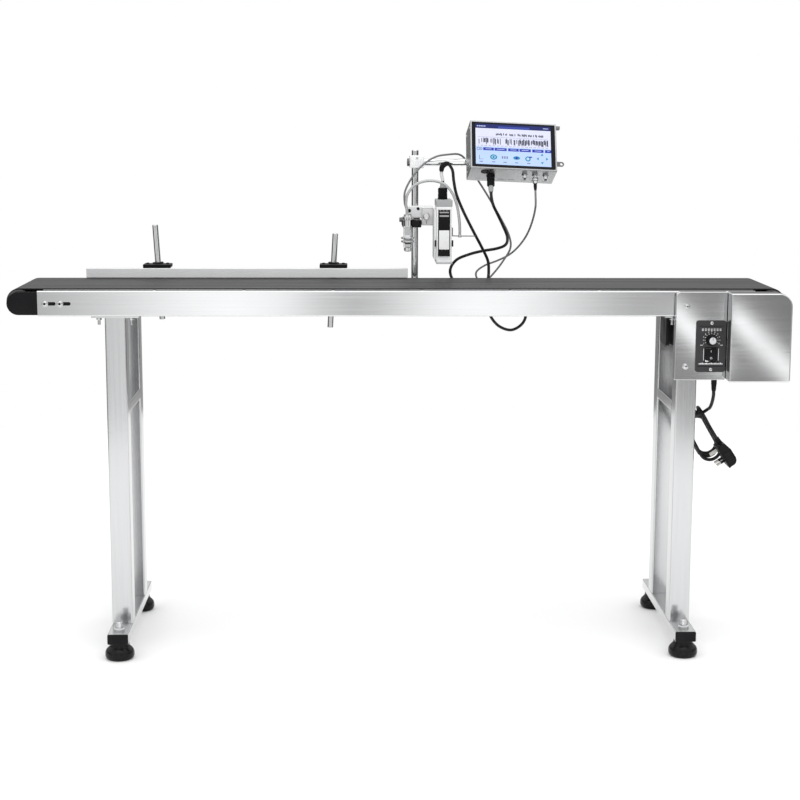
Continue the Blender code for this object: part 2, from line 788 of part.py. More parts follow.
def make_power_switch():
    outline = [
        (-0.0045, -0.0115),
        (-0.0026, 0.0),
        (-0.0045, 0.0115),
        (0.0015, 0.0100),
        (0.0030, 0.0),
        (0.0015, -0.0100),
    ]
    pivot_y = PANEL_FRONT + 0.0018
    place = Matrix.Translation((SWITCH_CENTRE[0], pivot_y, SWITCH_CENTRE[1]))
    tilt = Matrix.Rotation(-SWITCH_TILT, 4, "X")
    half = SWITCH_POCKET[0] / 2 - 0.0005
    prism("power_switch", [outline], "X", -half, half, BLACK_PLASTIC, place @ tilt)


def make_square_tube(name, axis, centre, size, ends):
    """A hollow tube, centred on (u, v) in the prism's outline plane."""
    half = (size[0] / 2, size[1] / 2)
    outer = rectangle(
        (centre[0] - half[0], centre[1] - half[1]), (centre[0] + half[0], centre[1] + half[1])
    )
    wall = TUBE_WALL
    inner = rectangle(
        (centre[0] - half[0] + wall, centre[1] - half[1] + wall),
        (centre[0] + half[0] - wall, centre[1] + half[1] - wall),
    )
    return prism(name, [outer, inner], axis, *ends, STAINLESS)


def make_leg(side):
    x = LEG_X[side]
    post_ends = (BASE_BAR_TOP + GAP, RAIL_BOTTOM - TOP_PLATE_SIZE[2] - 2 * GAP)
    for where, y in POST_Y.items():
        name = f"leg_post_{side}_{where}"
        make_square_tube(name, "Z", (x, y), (POST_SIZE, POST_SIZE), post_ends)
    reach = POST_Y["rear"] - POST_SIZE / 2 - GAP
    crossbar_z = CROSSBAR_BOTTOM + CROSSBAR_HEIGHT / 2
    size = (POST_SIZE, CROSSBAR_HEIGHT)
    make_square_tube(f"leg_crossbar_{side}", "Y", (x, crossbar_z), size, (-reach, reach))
    bar_z = (BASE_BAR_BOTTOM + BASE_BAR_TOP) / 2
    size = (POST_SIZE, BASE_BAR_TOP - BASE_BAR_BOTTOM)
    ends = (-BASE_BAR_HALF_LENGTH, BASE_BAR_HALF_LENGTH)
    bar = make_square_tube(f"leg_base_{side}", "Y", (x, bar_z), size, ends)
    for foot_y in (-FOOT_Y, FOOT_Y):
        low, high = (x, foot_y, BASE_BAR_BOTTOM - 0.005), (x, foot_y, BASE_BAR_TOP + 0.005)
        subtract(bar, rod(f"stud_hole_{side}_{foot_y:.3f}", low, high, FOOT_STUD_R + GAP))
    half_x, half_y = TOP_PLATE_SIZE[0] / 2, TOP_PLATE_SIZE[1] / 2
    plate_top = RAIL_BOTTOM - GAP
    low = (x - half_x, -half_y, plate_top - TOP_PLATE_SIZE[2])
    block(f"leg_top_plate_{side}", low, (x + half_x, half_y, plate_top), STAINLESS)


def make_foot(side, where):
    profile = [
        (0, 0.072),
        (FOOT_STUD_R - 0.001, 0.072),
        (FOOT_STUD_R, 0.071),
        (FOOT_STUD_R, 0.0335),
        (0.0185, 0.0335),
        (0.0185, 0.025),
        (0.0215, 0.019),
        (0.0280, 0.008),
        (0.0280, 0.0),
        (0, 0.0),
    ]
    base = (LEG_X[side], -FOOT_Y if where == "front" else FOOT_Y, 0)
    turned(f"foot_{side}_{where}", profile, base, (0, 0, 1), BLACK_RUBBER, steps=20)


def make_guide():
    pieces = [
        block(
            "guide_bar",
            (GUIDE_X[0], GUIDE_Y[0], GUIDE_Z[0]),
            (GUIDE_X[1], GUIDE_Y[1], GUIDE_Z[1]),
            STAINLESS,
            bevel=0.001,
        )
    ]
    for name, (_, bottom, top, _) in RODS.items():
        ends = [(rod_x(name, z), ROD_Y, z) for z in (bottom, top)]
        pieces.append(rod(f"guide_rod_{name}", *ends, ROD_R, CHROME))
        clamp_z = (GUIDE_Z[1] + GAP, GUIDE_Z[1] + 0.0075)
        x = rod_x(name, sum(clamp_z) / 2)
        low = (x - 0.028, GUIDE_Y[0] + 0.001, clamp_z[0])
        high = (x + 0.028, ROD_Y + 0.012, clamp_z[1])
        clamp = block(f"guide_clamp_{name}", low, high, BLACK_PLASTIC)
        bore_ends = [(rod_x(name, z), ROD_Y, z) for z in (ROD_LEVEL - 0.02, ROD_LEVEL + 0.03)]
        subtract(clamp, rod(f"{name}_clamp_bore", *bore_ends, ROD_R + GAP))
        pieces.append(clamp)
    pivot("guide_pivot", (GUIDE_X[0], ROD_Y, ROD_LEVEL), *pieces)


def drill(item, name, start, end, radius):
    subtract(item, rod(f"{item.name}_{name}", start, end, radius))


def make_stand():
    low, high = STAND_Z
    rod("stand_post", (POST_X, STAND_Y, low), (POST_X, STAND_Y, high), STAND_R, CHROME)
    down, up = (POST_X, STAND_Y, low), (POST_X, STAND_Y, high)
    foot = block(
        "stand_foot", (0.020, RAIL_OUTER_Y + GAP, 0.662), (0.062, 0.168, 0.703), DARK_STEEL
    )
    drill(foot, "bore", down, up, STAND_R + GAP)
    clamp = block("arm_clamp", (0.0295, 0.1165, 0.9300), (0.0580, 0.1620, 0.9550), WHITE_PAINT)
    drill(clamp, "post_bore", down, up, STAND_R + GAP)
    ends = ((0.0, ARM_Y, ARM_Z), (0.1, ARM_Y, ARM_Z))
    drill(clamp, "arm_bore", *ends, ARM_R + GAP)
    rod("arm_tube", (ARM_X[0], ARM_Y, ARM_Z), (ARM_X[1], ARM_Y, ARM_Z), ARM_R, CHROME)


def make_sensor():
    profile = [
        (0, 0.8395),
        (SENSOR_R - 0.001, 0.8395),
        (SENSOR_R - 0.0005, 0.8340),
        (SENSOR_R, 0.8330),
        (SENSOR_R, 0.7945),
        (0.013, 0.7945),
        (0.013, 0.7905),
        (SENSOR_R, 0.7900),
        (SENSOR_R, 0.7880),
        (0.013, 0.7875),
        (0.013, 0.7835),
        (SENSOR_R, 0.7835),
        (SENSOR_R, 0.7740),
        (SENSOR_R - 0.0015, 0.7735),
        (SENSOR_R - 0.0015, 0.7660),
        (0, 0.7660),
    ]
    turned("sensor_barrel", profile, (*SENSOR_CENTRE, 0), (0, 0, 1), CHROME, steps=20)
    clamp = block(
        "sensor_clamp", (0.0140, 0.0835, 0.8130), (0.0520, 0.1610, 0.8280), BLACK_PLASTIC
    )
    down, up = (POST_X, STAND_Y, 0.80), (POST_X, STAND_Y, 0.84)
    drill(clamp, "post_bore", down, up, STAND_R + GAP)
    down, up = (*SENSOR_CENTRE, 0.80), (*SENSOR_CENTRE, 0.84)
    drill(clamp, "barrel_seat", down, up, SENSOR_R + GAP)


def make_head_bracket():
    """The clamp block on the post, its side plate and the knob's plate, as one bent part."""
    bracket = block("head_bracket", (0.0245, 0.1350, 0.8290), (0.0770, 0.1650, 0.8530), WHITE_PAINT)
    unite(bracket, block("bracket_arm", (0.054, 0.118, 0.8150), (0.0795, 0.140, 0.8510)))
    unite(bracket, block("bracket_side", (0.0770, 0.0660, 0.7500), (0.0807, 0.1380, 0.8500)))
    down, up = (POST_X, STAND_Y, 0.80), (POST_X, STAND_Y, 0.88)
    drill(bracket, "post_bore", down, up, STAND_R + GAP)
    return bracket


def make_print_head():
    head = block("print_head", HEAD_LOW, HEAD_HIGH, WHITE_PAINT)
    low = (HEAD_LOW[0] + GAP, 0.060, 0.7415)
    high = (HEAD_HIGH[0] + 0.0015, 0.134, HEAD_LOW[2] + 0.001)
    unite(head, block("head_base_lip", low, high))
    ends = ((*CONNECTOR_XY, HEAD_HIGH[2] - 0.002), (*CONNECTOR_XY, CONNECTOR_TOP))
    unite(head, rod("head_connector", *ends, 0.0085, sides=20))
    bar_start = (HEAD_HIGH[0] - 0.003, TIP_BAR_Y, TIP_BAR_Z)
    unite(head, rod("head_tip_bar", bar_start, (0.160, TIP_BAR_Y, TIP_BAR_Z), TIP_BAR_R, sides=10))
    low = (CARTRIDGE_LOW[0] - GAP, HEAD_LOW[1] - 0.01, CARTRIDGE_LOW[2] - GAP)
    high = (CARTRIDGE_HIGH[0] + GAP, CARTRIDGE_HIGH[1] + 0.001, CARTRIDGE_HIGH[2] + GAP)
    subtract(head, block("cartridge_bay", low, high))
    return head


def make_head():
    bracket = make_head_bracket()
    head = make_print_head()
    cartridge = block(
        "ink_cartridge", CARTRIDGE_LOW, CARTRIDGE_HIGH, BLACK_PLASTIC, bevel=0.001
    )
    pivot("head_slide_pivot", (POST_X, STAND_Y, 0.841), bracket, head, cartridge)


def make_controller():
    frame = Matrix.Translation(CASE_CENTRE) @ CASE_TURN.to_matrix().to_4x4()
    half = CASE_SIZE / 2
    case = block("controller_case", -half, half, CASE_ALUMINIUM, frame=frame)
    seat_x, seat_z = SCREEN_SIZE[0] / 2 + GAP, SCREEN_SIZE[1] / 2 + GAP
    front, depth = -half.y, SCREEN_THICKNESS + GAP
    low, high = (-seat_x, front - 0.01, -seat_z), (seat_x, front + depth, seat_z)
    subtract(case, block("screen_seat", low, high, frame=frame))
    low = (-seat_x + GAP, front, -seat_z + GAP)
    high = (seat_x - GAP, front + SCREEN_THICKNESS, seat_z - GAP)
    screen = block("controller_screen", low, high, SCREEN_GLASS, frame=frame)
    low, high = (-0.020, half.y + GAP, -0.0145), (0.020, 0.0625, 0.0135)
    clamp = block("tilt_clamp", low, high, BLACK_PLASTIC, frame=frame)
    drill(clamp, "arm_bore", (0.15, ARM_Y, ARM_Z), (0.30, ARM_Y, ARM_Z), ARM_R + GAP)
    pivot("controller_pivot", (CASE_CENTRE.x, ARM_Y, ARM_Z), case, screen, clamp)


def make_power_gland():
    profile = [
        (0, 0.0240),
        (0.0040, 0.0240),
        (0.0040, COVER_BOTTOM - GLAND_BOTTOM - GAP),
        (0.0054, COVER_BOTTOM - GLAND_BOTTOM - GAP),
        (0.0054, 0.0165),
        (0.0040, 0.0),
        (0, 0.0),
    ]
    base = (*GLAND_XY, GLAND_BOTTOM)
    turned("power_gland", profile, base, (0, 0, 1), BLACK_RUBBER, steps=20)


def make_hank():
    """The outer shape of the tied bundle: long turns with round ends, hanging askew."""
    half_width = HANK_SIZE[0] / 2
    half_run = HANK_SIZE[1] / 2 - half_width
    ends = ((0, -half_run), (0, half_run))
    outline = loop_around(*ends, half_width, steps=12)
    place = Matrix.Translation(HANK_CENTRE) @ Matrix.Rotation(HANK_TILT, 4, "Y")
    half = HANK_THICKNESS / 2
    prism("cord_hank", [outline], "Y", -half, half, BLACK_RUBBER, place)


def make_plug():
    """Plug body in its own frame: Z runs back towards its cord, -X is the pin side."""
    low, high = (-0.011, -0.021, -0.026), (0.011, 0.021, 0.022)
    plug = block("power_plug", low, high, BLACK_PLASTIC, frame=PLUG_PLACE)
    relief = block("plug_relief", (-0.005, -0.006, 0.020), (0.006, 0.006, 0.034), frame=PLUG_PLACE)
    unite(plug, relief)
    unite(plug, rod("plug_tail", *PLUG_TAIL, POWER_CORD_R, sides=12))
    pins = [(0.0, 0.012, 0.004, 0.0065), (-0.011, -0.010, 0.0065, 0.004)]
    pins.append((0.011, -0.010, 0.0065, 0.004))
    for number, (y, z, wide, tall) in enumerate(pins):
        low = (-0.028, y - wide / 2, z - tall / 2)
        high = (-0.009, y + wide / 2, z + tall / 2)
        unite(plug, block(f"plug_pin_{number}", low, high, frame=PLUG_PLACE))


def make_cords():
    cord("head_cable_upper", HEAD_CABLE_UPPER, HEAD_CABLE_R, 0.009, BLACK_RUBBER)
    cord("head_cable_lower", HEAD_CABLE_LOWER, HEAD_CABLE_R, 0.015, BLACK_RUBBER)
    cord("sensor_lead", SENSOR_LEAD, SENSOR_LEAD_R, 0.012, GREY_CORD)
    cord("sensor_sleeve", SLEEVE, SLEEVE_R, 0.009, CLEAR_SLEEVE)
    cord("power_cord", POWER_CORD, POWER_CORD_R, 0.008, BLACK_RUBBER)
    make_power_gland()
    make_hank()
    make_plug()


clear_scene()
PARTS = make_collection(MODEL_NAME)
CUTTERS = make_collection(MODEL_NAME + "_cutters")

make_rail("rail_front", -1)
drill_rod_holes(make_rail("rail_rear", 1))
make_bed_plate()
make_belt()
make_tail_end()
make_drive_end()
make_chain_drive()
make_motor()
make_side_plate()
make_covers()
make_speed_controller()
make_speed_knob()
make_power_switch()
for side in LEG_X:
    make_leg(side)
    for where in POST_Y:
        make_foot(side, where)
make_guide()
make_stand()
make_sensor()
make_head()
make_controller()
make_cords()
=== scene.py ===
"""The looks of a belt conveyor with an inkjet date coder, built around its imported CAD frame.

Units are metres in the CAD frame: X runs along the belt towards the drive, -Y faces the operator, Z is up.
"""

import math
import random

import bmesh
import bpy
from mathutils import Euler, Matrix, Vector


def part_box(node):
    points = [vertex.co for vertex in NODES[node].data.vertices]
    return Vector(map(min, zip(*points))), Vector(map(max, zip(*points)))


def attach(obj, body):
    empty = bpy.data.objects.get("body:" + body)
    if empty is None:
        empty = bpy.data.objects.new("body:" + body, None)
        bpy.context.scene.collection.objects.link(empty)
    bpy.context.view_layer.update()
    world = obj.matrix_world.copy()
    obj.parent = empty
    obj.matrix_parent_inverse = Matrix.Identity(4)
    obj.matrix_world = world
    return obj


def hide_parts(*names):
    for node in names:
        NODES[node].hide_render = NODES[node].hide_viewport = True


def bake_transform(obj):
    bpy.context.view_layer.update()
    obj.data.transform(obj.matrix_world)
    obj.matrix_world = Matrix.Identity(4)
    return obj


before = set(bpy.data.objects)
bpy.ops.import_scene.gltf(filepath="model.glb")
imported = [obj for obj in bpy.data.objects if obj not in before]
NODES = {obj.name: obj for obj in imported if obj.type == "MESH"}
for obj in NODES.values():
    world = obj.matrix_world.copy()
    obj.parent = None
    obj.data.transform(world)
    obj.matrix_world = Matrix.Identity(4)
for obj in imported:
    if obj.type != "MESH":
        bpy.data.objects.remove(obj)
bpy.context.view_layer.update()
SCENE = bpy.context.scene
GAP = 0.0003
SHARP = math.radians(32)
UP, RIGHT, LEFT, DOWN, OUT, BACK = (0, 0, 1), (1, 0, 0), (-1, 0, 0), (0, 0, -1), (0, -1, 0), (0, 1, 0)


# ---------------------------------------------------------------- shape tools


def hexagon(angle):
    """How far a hexagon's side lies from its centre at an angle, for a corner radius of 1."""
    side = math.radians(60)
    return math.cos(side / 2) / math.cos(angle % side - side / 2)


def cross(angle):
    """The outline of a cross recess."""
    return 0.62 + 0.38 * math.cos(4 * angle)


def knurl(count, depth):
    """A ribbed rim with that many ribs."""
    return lambda angle: 1 - depth / 2 + depth / 2 * math.cos(count * angle)


def aim(base, direction):
    """A placement whose Z axis runs along a direction, with X kept level where it can be."""
    z = Vector(direction).normalized()
    x = Vector((0, 0, 1)).cross(z)
    if x.length < 1e-6:
        x = Vector((1, 0, 0))
    x.normalize()
    turn = Matrix((x, z.cross(x), z)).transposed().to_4x4()
    return Matrix.Translation(base) @ turn


def arc(centre, radius, start, sweep, steps):
    """Points along an arc, both ends included."""
    angles = [start + sweep * i / steps for i in range(steps + 1)]
    return [(centre[0] + radius * math.cos(a), centre[1] + radius * math.sin(a)) for a in angles]


def rounded(low, high, radii, steps=6):
    """A rectangle's outline with its own radius at each corner, anticlockwise from the lowest."""
    corners = (
        (low[0], low[1], 1, 1, 180),
        (high[0], low[1], -1, 1, 270),
        (high[0], high[1], -1, -1, 0),
        (low[0], high[1], 1, -1, 90),
    )
    if isinstance(radii, (int, float)):
        radii = [radii] * 4
    points = []
    for (x, y, across, up, start), radius in zip(corners, radii):
        centre = (x + across * radius, y + up * radius)
        points += arc(centre, radius, math.radians(start), math.pi / 2, steps) if radius else [(x, y)]
    return points


def capsule(first, second, radius, steps=16):
    """The outline around two equal circles, anticlockwise."""
    run = math.atan2(second[1] - first[1], second[0] - first[0])
    near, far = run + math.pi / 2, run - math.pi / 2
    return arc(second, radius, far, math.pi, steps) + arc(first, radius, near, math.pi, steps)


def ring(radius, steps=32, centre=(0, 0)):
    return arc(centre, radius, 0, 2 * math.pi, steps)[:-1]


def smooth_route(route, spacing):
    """Evenly spaced points on the smooth curve through a route's points."""
    points = [Vector(p) for p in route]
    ends = [2 * points[0] - points[1], *points, 2 * points[-1] - points[-2]]
    fine = []
    for before, start, end, after in zip(ends, ends[1:], ends[2:], ends[3:]):
        for i in range(24):
            t = i / 24
            bend = 2 * before - 5 * start + 4 * end - after
            jerk = 3 * start - before - 3 * end + after
            fine.append(0.5 * (2 * start + (end - before) * t + bend * t**2 + jerk * t**3))
    fine.append(points[-1])
    along = [0.0]
    for a, b in zip(fine, fine[1:]):
        along.append(along[-1] + (b - a).length)
    count = max(2, round(along[-1] / spacing))
    spaced, index = [], 0
    for i in range(count + 1):
        target = along[-1] * i / count
        while index < len(fine) - 2 and along[index + 1] < target:
            index += 1
        share = (target - along[index]) / (along[index + 1] - along[index])
        spaced.append(fine[index].lerp(fine[index + 1], share))
    return spaced


def eased(points, limits):
    """Flattens a path's bends towards each point's limit on the radius; the two ends stay."""
    points = [Vector(p) for p in points]
    reach, rounds = 3, 1500
    for _ in range(rounds):
        moves = []
        for i in range(reach, len(points) - reach):
            before, here, after = points[i - reach], points[i], points[i + reach]
            twice_area = (here - before).cross(after - before).length
            sides = (here - before).length * (after - here).length * (after - before).length
            if sides / max(2 * twice_area, 1e-12) < limits[i]:
                moves.append((i, (points[i - 1] + points[i + 1]) / 2))
        if not moves:
            break
        for i, place in moves:
            points[i] = points[i].lerp(place, 0.5)
    return [tuple(p) for p in points]


PLANES = {
    "X": Matrix(((0, 0, 1, 0), (1, 0, 0, 0), (0, 1, 0, 0), (0, 0, 0, 1))),
    "Y": Matrix(((1, 0, 0, 0), (0, 0, -1, 0), (0, 1, 0, 0), (0, 0, 0, 1))),
    "Z": Matrix.Identity(4),
}


class Shape:
    """A mesh in the making: closed bodies added one after another, in the place given."""

    def __init__(self, place=None):
        self.bm = bmesh.new()
        self.place = place or Matrix.Identity(4)

    def take(self, bm, place=None):
        bmesh.ops.recalc_face_normals(bm, faces=bm.faces)
        bm.transform(self.place @ (place or Matrix.Identity(4)))
        mesh = bpy.data.meshes.new("taken")
        bm.to_mesh(mesh)
        bm.free()
        self.bm.from_mesh(mesh)
        bpy.data.meshes.remove(mesh)
        return self

    def box(self, low, high, bevel=0.0005, segments=2, place=None):
        bm = bmesh.new()
        bmesh.ops.create_cube(bm, size=1)
        low, high = Vector(low), Vector(high)
        size, middle = high - low, (high + low) / 2
        for vert in bm.verts:
            vert.co = Vector(c * s for c, s in zip(vert.co, size)) + middle
        if bevel:
            soften(bm, min(bevel, min(size) * 0.45), segments)
        return self.take(bm, place)

    def lathe(self, profile, base=(0, 0, 0), direction=(0, 0, 1), steps=48, closed=False):
        """Rings (radius, height[, outline]) up the axis; closed joins the last ring to the first."""
        bm = bmesh.new()
        rings = []
        for radius, height, *outline in profile:
            if radius == 0:
                rings.append([bm.verts.new((0, 0, height))])
                continue
            verts = []
            for i in range(steps):
                angle = 2 * math.pi * i / steps
                reach = radius * (outline[0](angle) if outline else 1)
                verts.append(bm.verts.new((reach * math.cos(angle), reach * math.sin(angle), height)))
            rings.append(verts)
        pairs = list(zip(rings, rings[1:]))
        if closed:
            pairs.append((rings[-1], rings[0]))
        for lower, upper in pairs:
            stitch(bm, lower, upper)
        if not closed:
            for end in (rings[0], rings[-1]):
                if len(end) > 1:
                    bm.faces.new(end)
        return self.take(bm, aim(base, direction))

    def sweep(self, points, radius, sides=20):
        """A tube along points; radius is a number or one for each point."""
        points = [Vector(p) for p in points]
        radii = radius if isinstance(radius, (list, tuple)) else [radius] * len(points)
        bm = bmesh.new()
        across = None
        rings = []
        for i, point in enumerate(points):
            ahead = points[min(i + 1, len(points) - 1)] - points[max(i - 1, 0)]
            ahead.normalize()
            if across is None:
                across = ahead.orthogonal()
            across = (across - ahead * across.dot(ahead)).normalized()
            side = ahead.cross(across)
            verts = []
            for k in range(sides):
                angle = 2 * math.pi * k / sides
                out = across * math.cos(angle) + side * math.sin(angle)
                verts.append(bm.verts.new(point + radii[i] * out))
            rings.append(verts)
        for lower, upper in zip(rings, rings[1:]):
            stitch(bm, lower, upper)
        bm.faces.new(rings[0])
        bm.faces.new(rings[-1])
        return self.take(bm)

    def prism(self, outline, axis, start, end, bevel=0.0, segments=2, place=None, holes=()):
        """An outline in the plane across an axis, drawn from start to end along it."""
        bm = bmesh.new()
        loops = []
        for points in (outline, *holes):
            verts = [bm.verts.new((u, v, 0)) for u, v in points]
            loops.append([bm.edges.new(pair) for pair in zip(verts, verts[1:] + verts[:1])])
        if holes:
            bmesh.ops.triangle_fill(bm, use_beauty=True, edges=[e for loop in loops for e in loop])
            bmesh.ops.dissolve_limit(bm, angle_limit=0.01, verts=bm.verts, edges=bm.edges)
        else:
            bm.faces.new(bm.verts)
        grown = bmesh.ops.extrude_face_region(bm, geom=bm.faces[:] + bm.edges[:])
        depth = end - start
        for vert in (g for g in grown["geom"] if isinstance(g, bmesh.types.BMVert)):
            vert.co.z += depth
        bmesh.ops.recalc_face_normals(bm, faces=bm.faces)
        if bevel:
            soften(bm, bevel, segments)
        turn = PLANES[axis]
        shift = {"X": (start, 0, 0), "Y": (0, start, 0), "Z": (0, 0, start)}[axis]
        if axis == "Y":
            bm.transform(Matrix.Translation((0, 0, -depth)))
        bm.transform(Matrix.Translation(shift) @ turn)
        return self.take(bm, place)

    def object(self, name):
        mesh = bpy.data.meshes.new(name)
        self.bm.to_mesh(mesh)
        self.bm.free()
        item = bpy.data.objects.new(name, mesh)
        SCENE.collection.objects.link(item)
        return item

    def done(self, name, look, body, *replaced):
        return settle(self.object(name), look, body, *replaced)


def stitch(bm, lower, upper):
    """Faces between two rings, one of which may be a single point."""
    count = max(len(lower), len(upper))
    for i in range(count):
        corners = []
        for group, order in ((lower, (i, i + 1)), (upper, (i + 1, i))):
            corners += [group[k % len(group)] for k in order]
        bm.faces.new(list(dict.fromkeys(corners)))


def soften(bm, width, segments=2):
    """Rounds every edge where two faces meet at more than the sharp angle."""
    edges = [e for e in bm.edges if len(e.link_faces) == 2 and e.calc_face_angle(0) > SHARP]
    bmesh.ops.bevel(
        bm, geom=edges, offset=width, segments=segments, profile=0.5, affect="EDGES", clamp_overlap=True
    )


def settle(item, look, body, *replaced):
    """Gives a piece its material, smooth shading and body, and hides the CAD nodes it stands for."""
    item.data.materials.clear()
    item.data.materials.append(look)
    if item.type == "MESH":
        item.data.shade_smooth()
        item.data.set_sharp_from_angle(angle=SHARP)
        if body:
            shading = item.modifiers.new("even_shading", "WEIGHTED_NORMAL")
            shading.keep_sharp = True
            shading.weight = 100
    if body:
        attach(item, body)
    if replaced:
        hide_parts(*replaced)
    return item


def cut(item, *cutters):
    """Takes the cutters' shapes out of a mesh."""
    for cutter in cutters:
        modifier = item.modifiers.new("cut", "BOOLEAN")
        modifier.operation = "DIFFERENCE"
        modifier.object = cutter
    bpy.context.view_layer.update()
    mesh = bpy.data.meshes.new_from_object(item.evaluated_get(bpy.context.evaluated_depsgraph_get()))
    item.modifiers.clear()
    old = item.data
    item.data = mesh
    bpy.data.meshes.remove(old)
    for cutter in cutters:
        spent = cutter.data
        bpy.data.objects.remove(cutter)
        bpy.data.meshes.remove(spent)
    return item


# ------------------------------------------------------------------ materials


def shader_of(look):
    return look.node_tree.nodes["Principled BSDF"]


def noise(look, scale, detail=3.0, roughness=0.55):
    """A noise over the piece's own coordinates; scale is how many features per metre on each axis."""
    nodes, links = look.node_tree.nodes, look.node_tree.links
    where = nodes.new("ShaderNodeTexCoord")
    spread = nodes.new("ShaderNodeMapping")
    spread.inputs["Scale"].default_value = scale if hasattr(scale, "__len__") else (scale,) * 3
    texture = nodes.new("ShaderNodeTexNoise")
    texture.inputs["Scale"].default_value = 1.0
    texture.inputs["Detail"].default_value = detail
    texture.inputs["Roughness"].default_value = roughness
    links.new(where.outputs["Object"], spread.inputs["Vector"])
    links.new(spread.outputs["Vector"], texture.inputs["Vector"])
    return texture.outputs["Fac"]


def ranged(look, value, low, high):
    """Turns a noise's usual spread into values between low and high."""
    node = look.node_tree.nodes.new("ShaderNodeMapRange")
    node.inputs["From Min"].default_value = 0.3
    node.inputs["From Max"].default_value = 0.7
    node.inputs["To Min"].default_value = low
    node.inputs["To Max"].default_value = high
    look.node_tree.links.new(value, node.inputs["Value"])
    return node.outputs["Result"]


def tinted(look, value, dark, light):
    """Colours that go from dark to light with a noise."""
    node = look.node_tree.nodes.new("ShaderNodeValToRGB")
    low, high = node.color_ramp.elements
    low.position, high.position = 0.3, 0.7
    low.color, high.color = (*dark, 1), (*light, 1)
    look.node_tree.links.new(value, node.inputs["Fac"])
    return node.outputs["Color"]


def bumped(look, value, depth, before=None):
    node = look.node_tree.nodes.new("ShaderNodeBump")
    node.inputs["Strength"].default_value = 1.0
    node.inputs["Distance"].default_value = depth
    look.node_tree.links.new(value, node.inputs["Height"])
    if before:
        look.node_tree.links.new(before, node.inputs["Normal"])
    return node.outputs["Normal"]


def start_look(name, slot, metallic):
    look = bpy.data.materials.new(name)
    look.use_nodes = True
    look["slot"] = slot
    shader_of(look).inputs["Metallic"].default_value = metallic
    return look


def shades(colour, vary):
    """A colour's dark and light ends."""
    return [c * (1 - vary) for c in colour], [min(1.0, c * (1 + vary)) for c in colour]


def new_look(
    name, slot, colour, roughness, metallic=0.0, vary=0.10, patches=9, grain=900, depth=0.00002, specular=None
):
    """A moulded, painted or plain surface: patchy colour and roughness over a fine grain."""
    look = start_look(name, slot, metallic)
    shader = shader_of(look)
    if specular is not None:
        shader.inputs["Specular IOR Level"].default_value = specular
    clouds = noise(look, patches)
    fine = noise(look, grain, detail=2.0)
    links = look.node_tree.links
    links.new(tinted(look, clouds, *shades(colour, vary)), shader.inputs["Base Color"])
    links.new(ranged(look, fine, roughness * 0.88, roughness * 1.12), shader.inputs["Roughness"])
    links.new(bumped(look, fine, depth), shader.inputs["Normal"])
    return look


def black_look(name, slot, colour, roughness, vary, patches, grain, specular):
    """A dark moulding, coat or rubber, which mirrors less than a pale one."""
    return new_look(name, slot, colour, roughness, 0.0, vary, patches, grain, specular=specular)


def brushed_look(name, slot, colour, roughness, axis, vary=0.06, streaks=420.0):
    """Steel sheet or tube with its grain along one axis: fine scratches, dull patches and a soft tint."""
    look = start_look(name, slot, 1.0)
    shader = shader_of(look)
    depth = 0.0000025
    along = {"X": (0.012, 1, 1), "Y": (1, 0.012, 1), "Z": (1, 1, 0.012)}[axis]
    coarse = noise(look, [streaks * a for a in along], detail=4.0)
    hair = noise(look, [streaks * 5 * a for a in along], detail=2.0)
    smudge = noise(look, 7.0, detail=4.0)
    links = look.node_tree.links
    both = look.node_tree.nodes.new("ShaderNodeMath")
    both.operation = "MULTIPLY_ADD"
    links.new(smudge, both.inputs[0])
    both.inputs[1].default_value = 0.5
    half = look.node_tree.nodes.new("ShaderNodeMath")
    half.operation = "MULTIPLY"
    half.inputs[1].default_value = 0.5
    links.new(coarse, half.inputs[0])
    links.new(half.outputs[0], both.inputs[2])
    links.new(tinted(look, coarse, *shades(colour, vary)), shader.inputs["Base Color"])
    links.new(ranged(look, both.outputs[0], roughness * 0.8, roughness * 1.25), shader.inputs["Roughness"])
    first = bumped(look, coarse, depth)
    links.new(bumped(look, hair, depth * 0.4, first), shader.inputs["Normal"])
    return look


def belt_look():
    """A PVC belt cover: a faint woven grain, with rub marks along the way it runs."""
    look = new_look("belt_cover", "belt_pvc", cool(0.022, 0.0005), 0.52, patches=6, specular=0.3)
    shader = shader_of(look)
    links = look.node_tree.links
    rubs = noise(look, (2.0, 60.0, 60.0), detail=4.0)
    grain = noise(look, 1500.0, detail=1.0)
    links.new(tinted(look, rubs, cool(0.018, 0.0005), cool(0.026, 0.0005)), shader.inputs["Base Color"])
    links.new(ranged(look, rubs, 0.44, 0.60), shader.inputs["Roughness"])
    links.new(bumped(look, grain, 0.00006), shader.inputs["Normal"])
    return look


def glow_look(name, colour, strength):
    """A lit part of the display under its glass."""
    look = new_look(name, "screen_glass", colour, 0.30, vary=0.04, patches=30, depth=FLAT, specular=0.12)
    shader = shader_of(look)
    shader.inputs["Emission Color"].default_value = (*colour, 1)
    shader.inputs["Emission Strength"].default_value = strength
    return look


def cool(level, step=0.005):
    """A grey that is a touch bluer than neutral."""
    return (level, level + step, level + 2 * step)


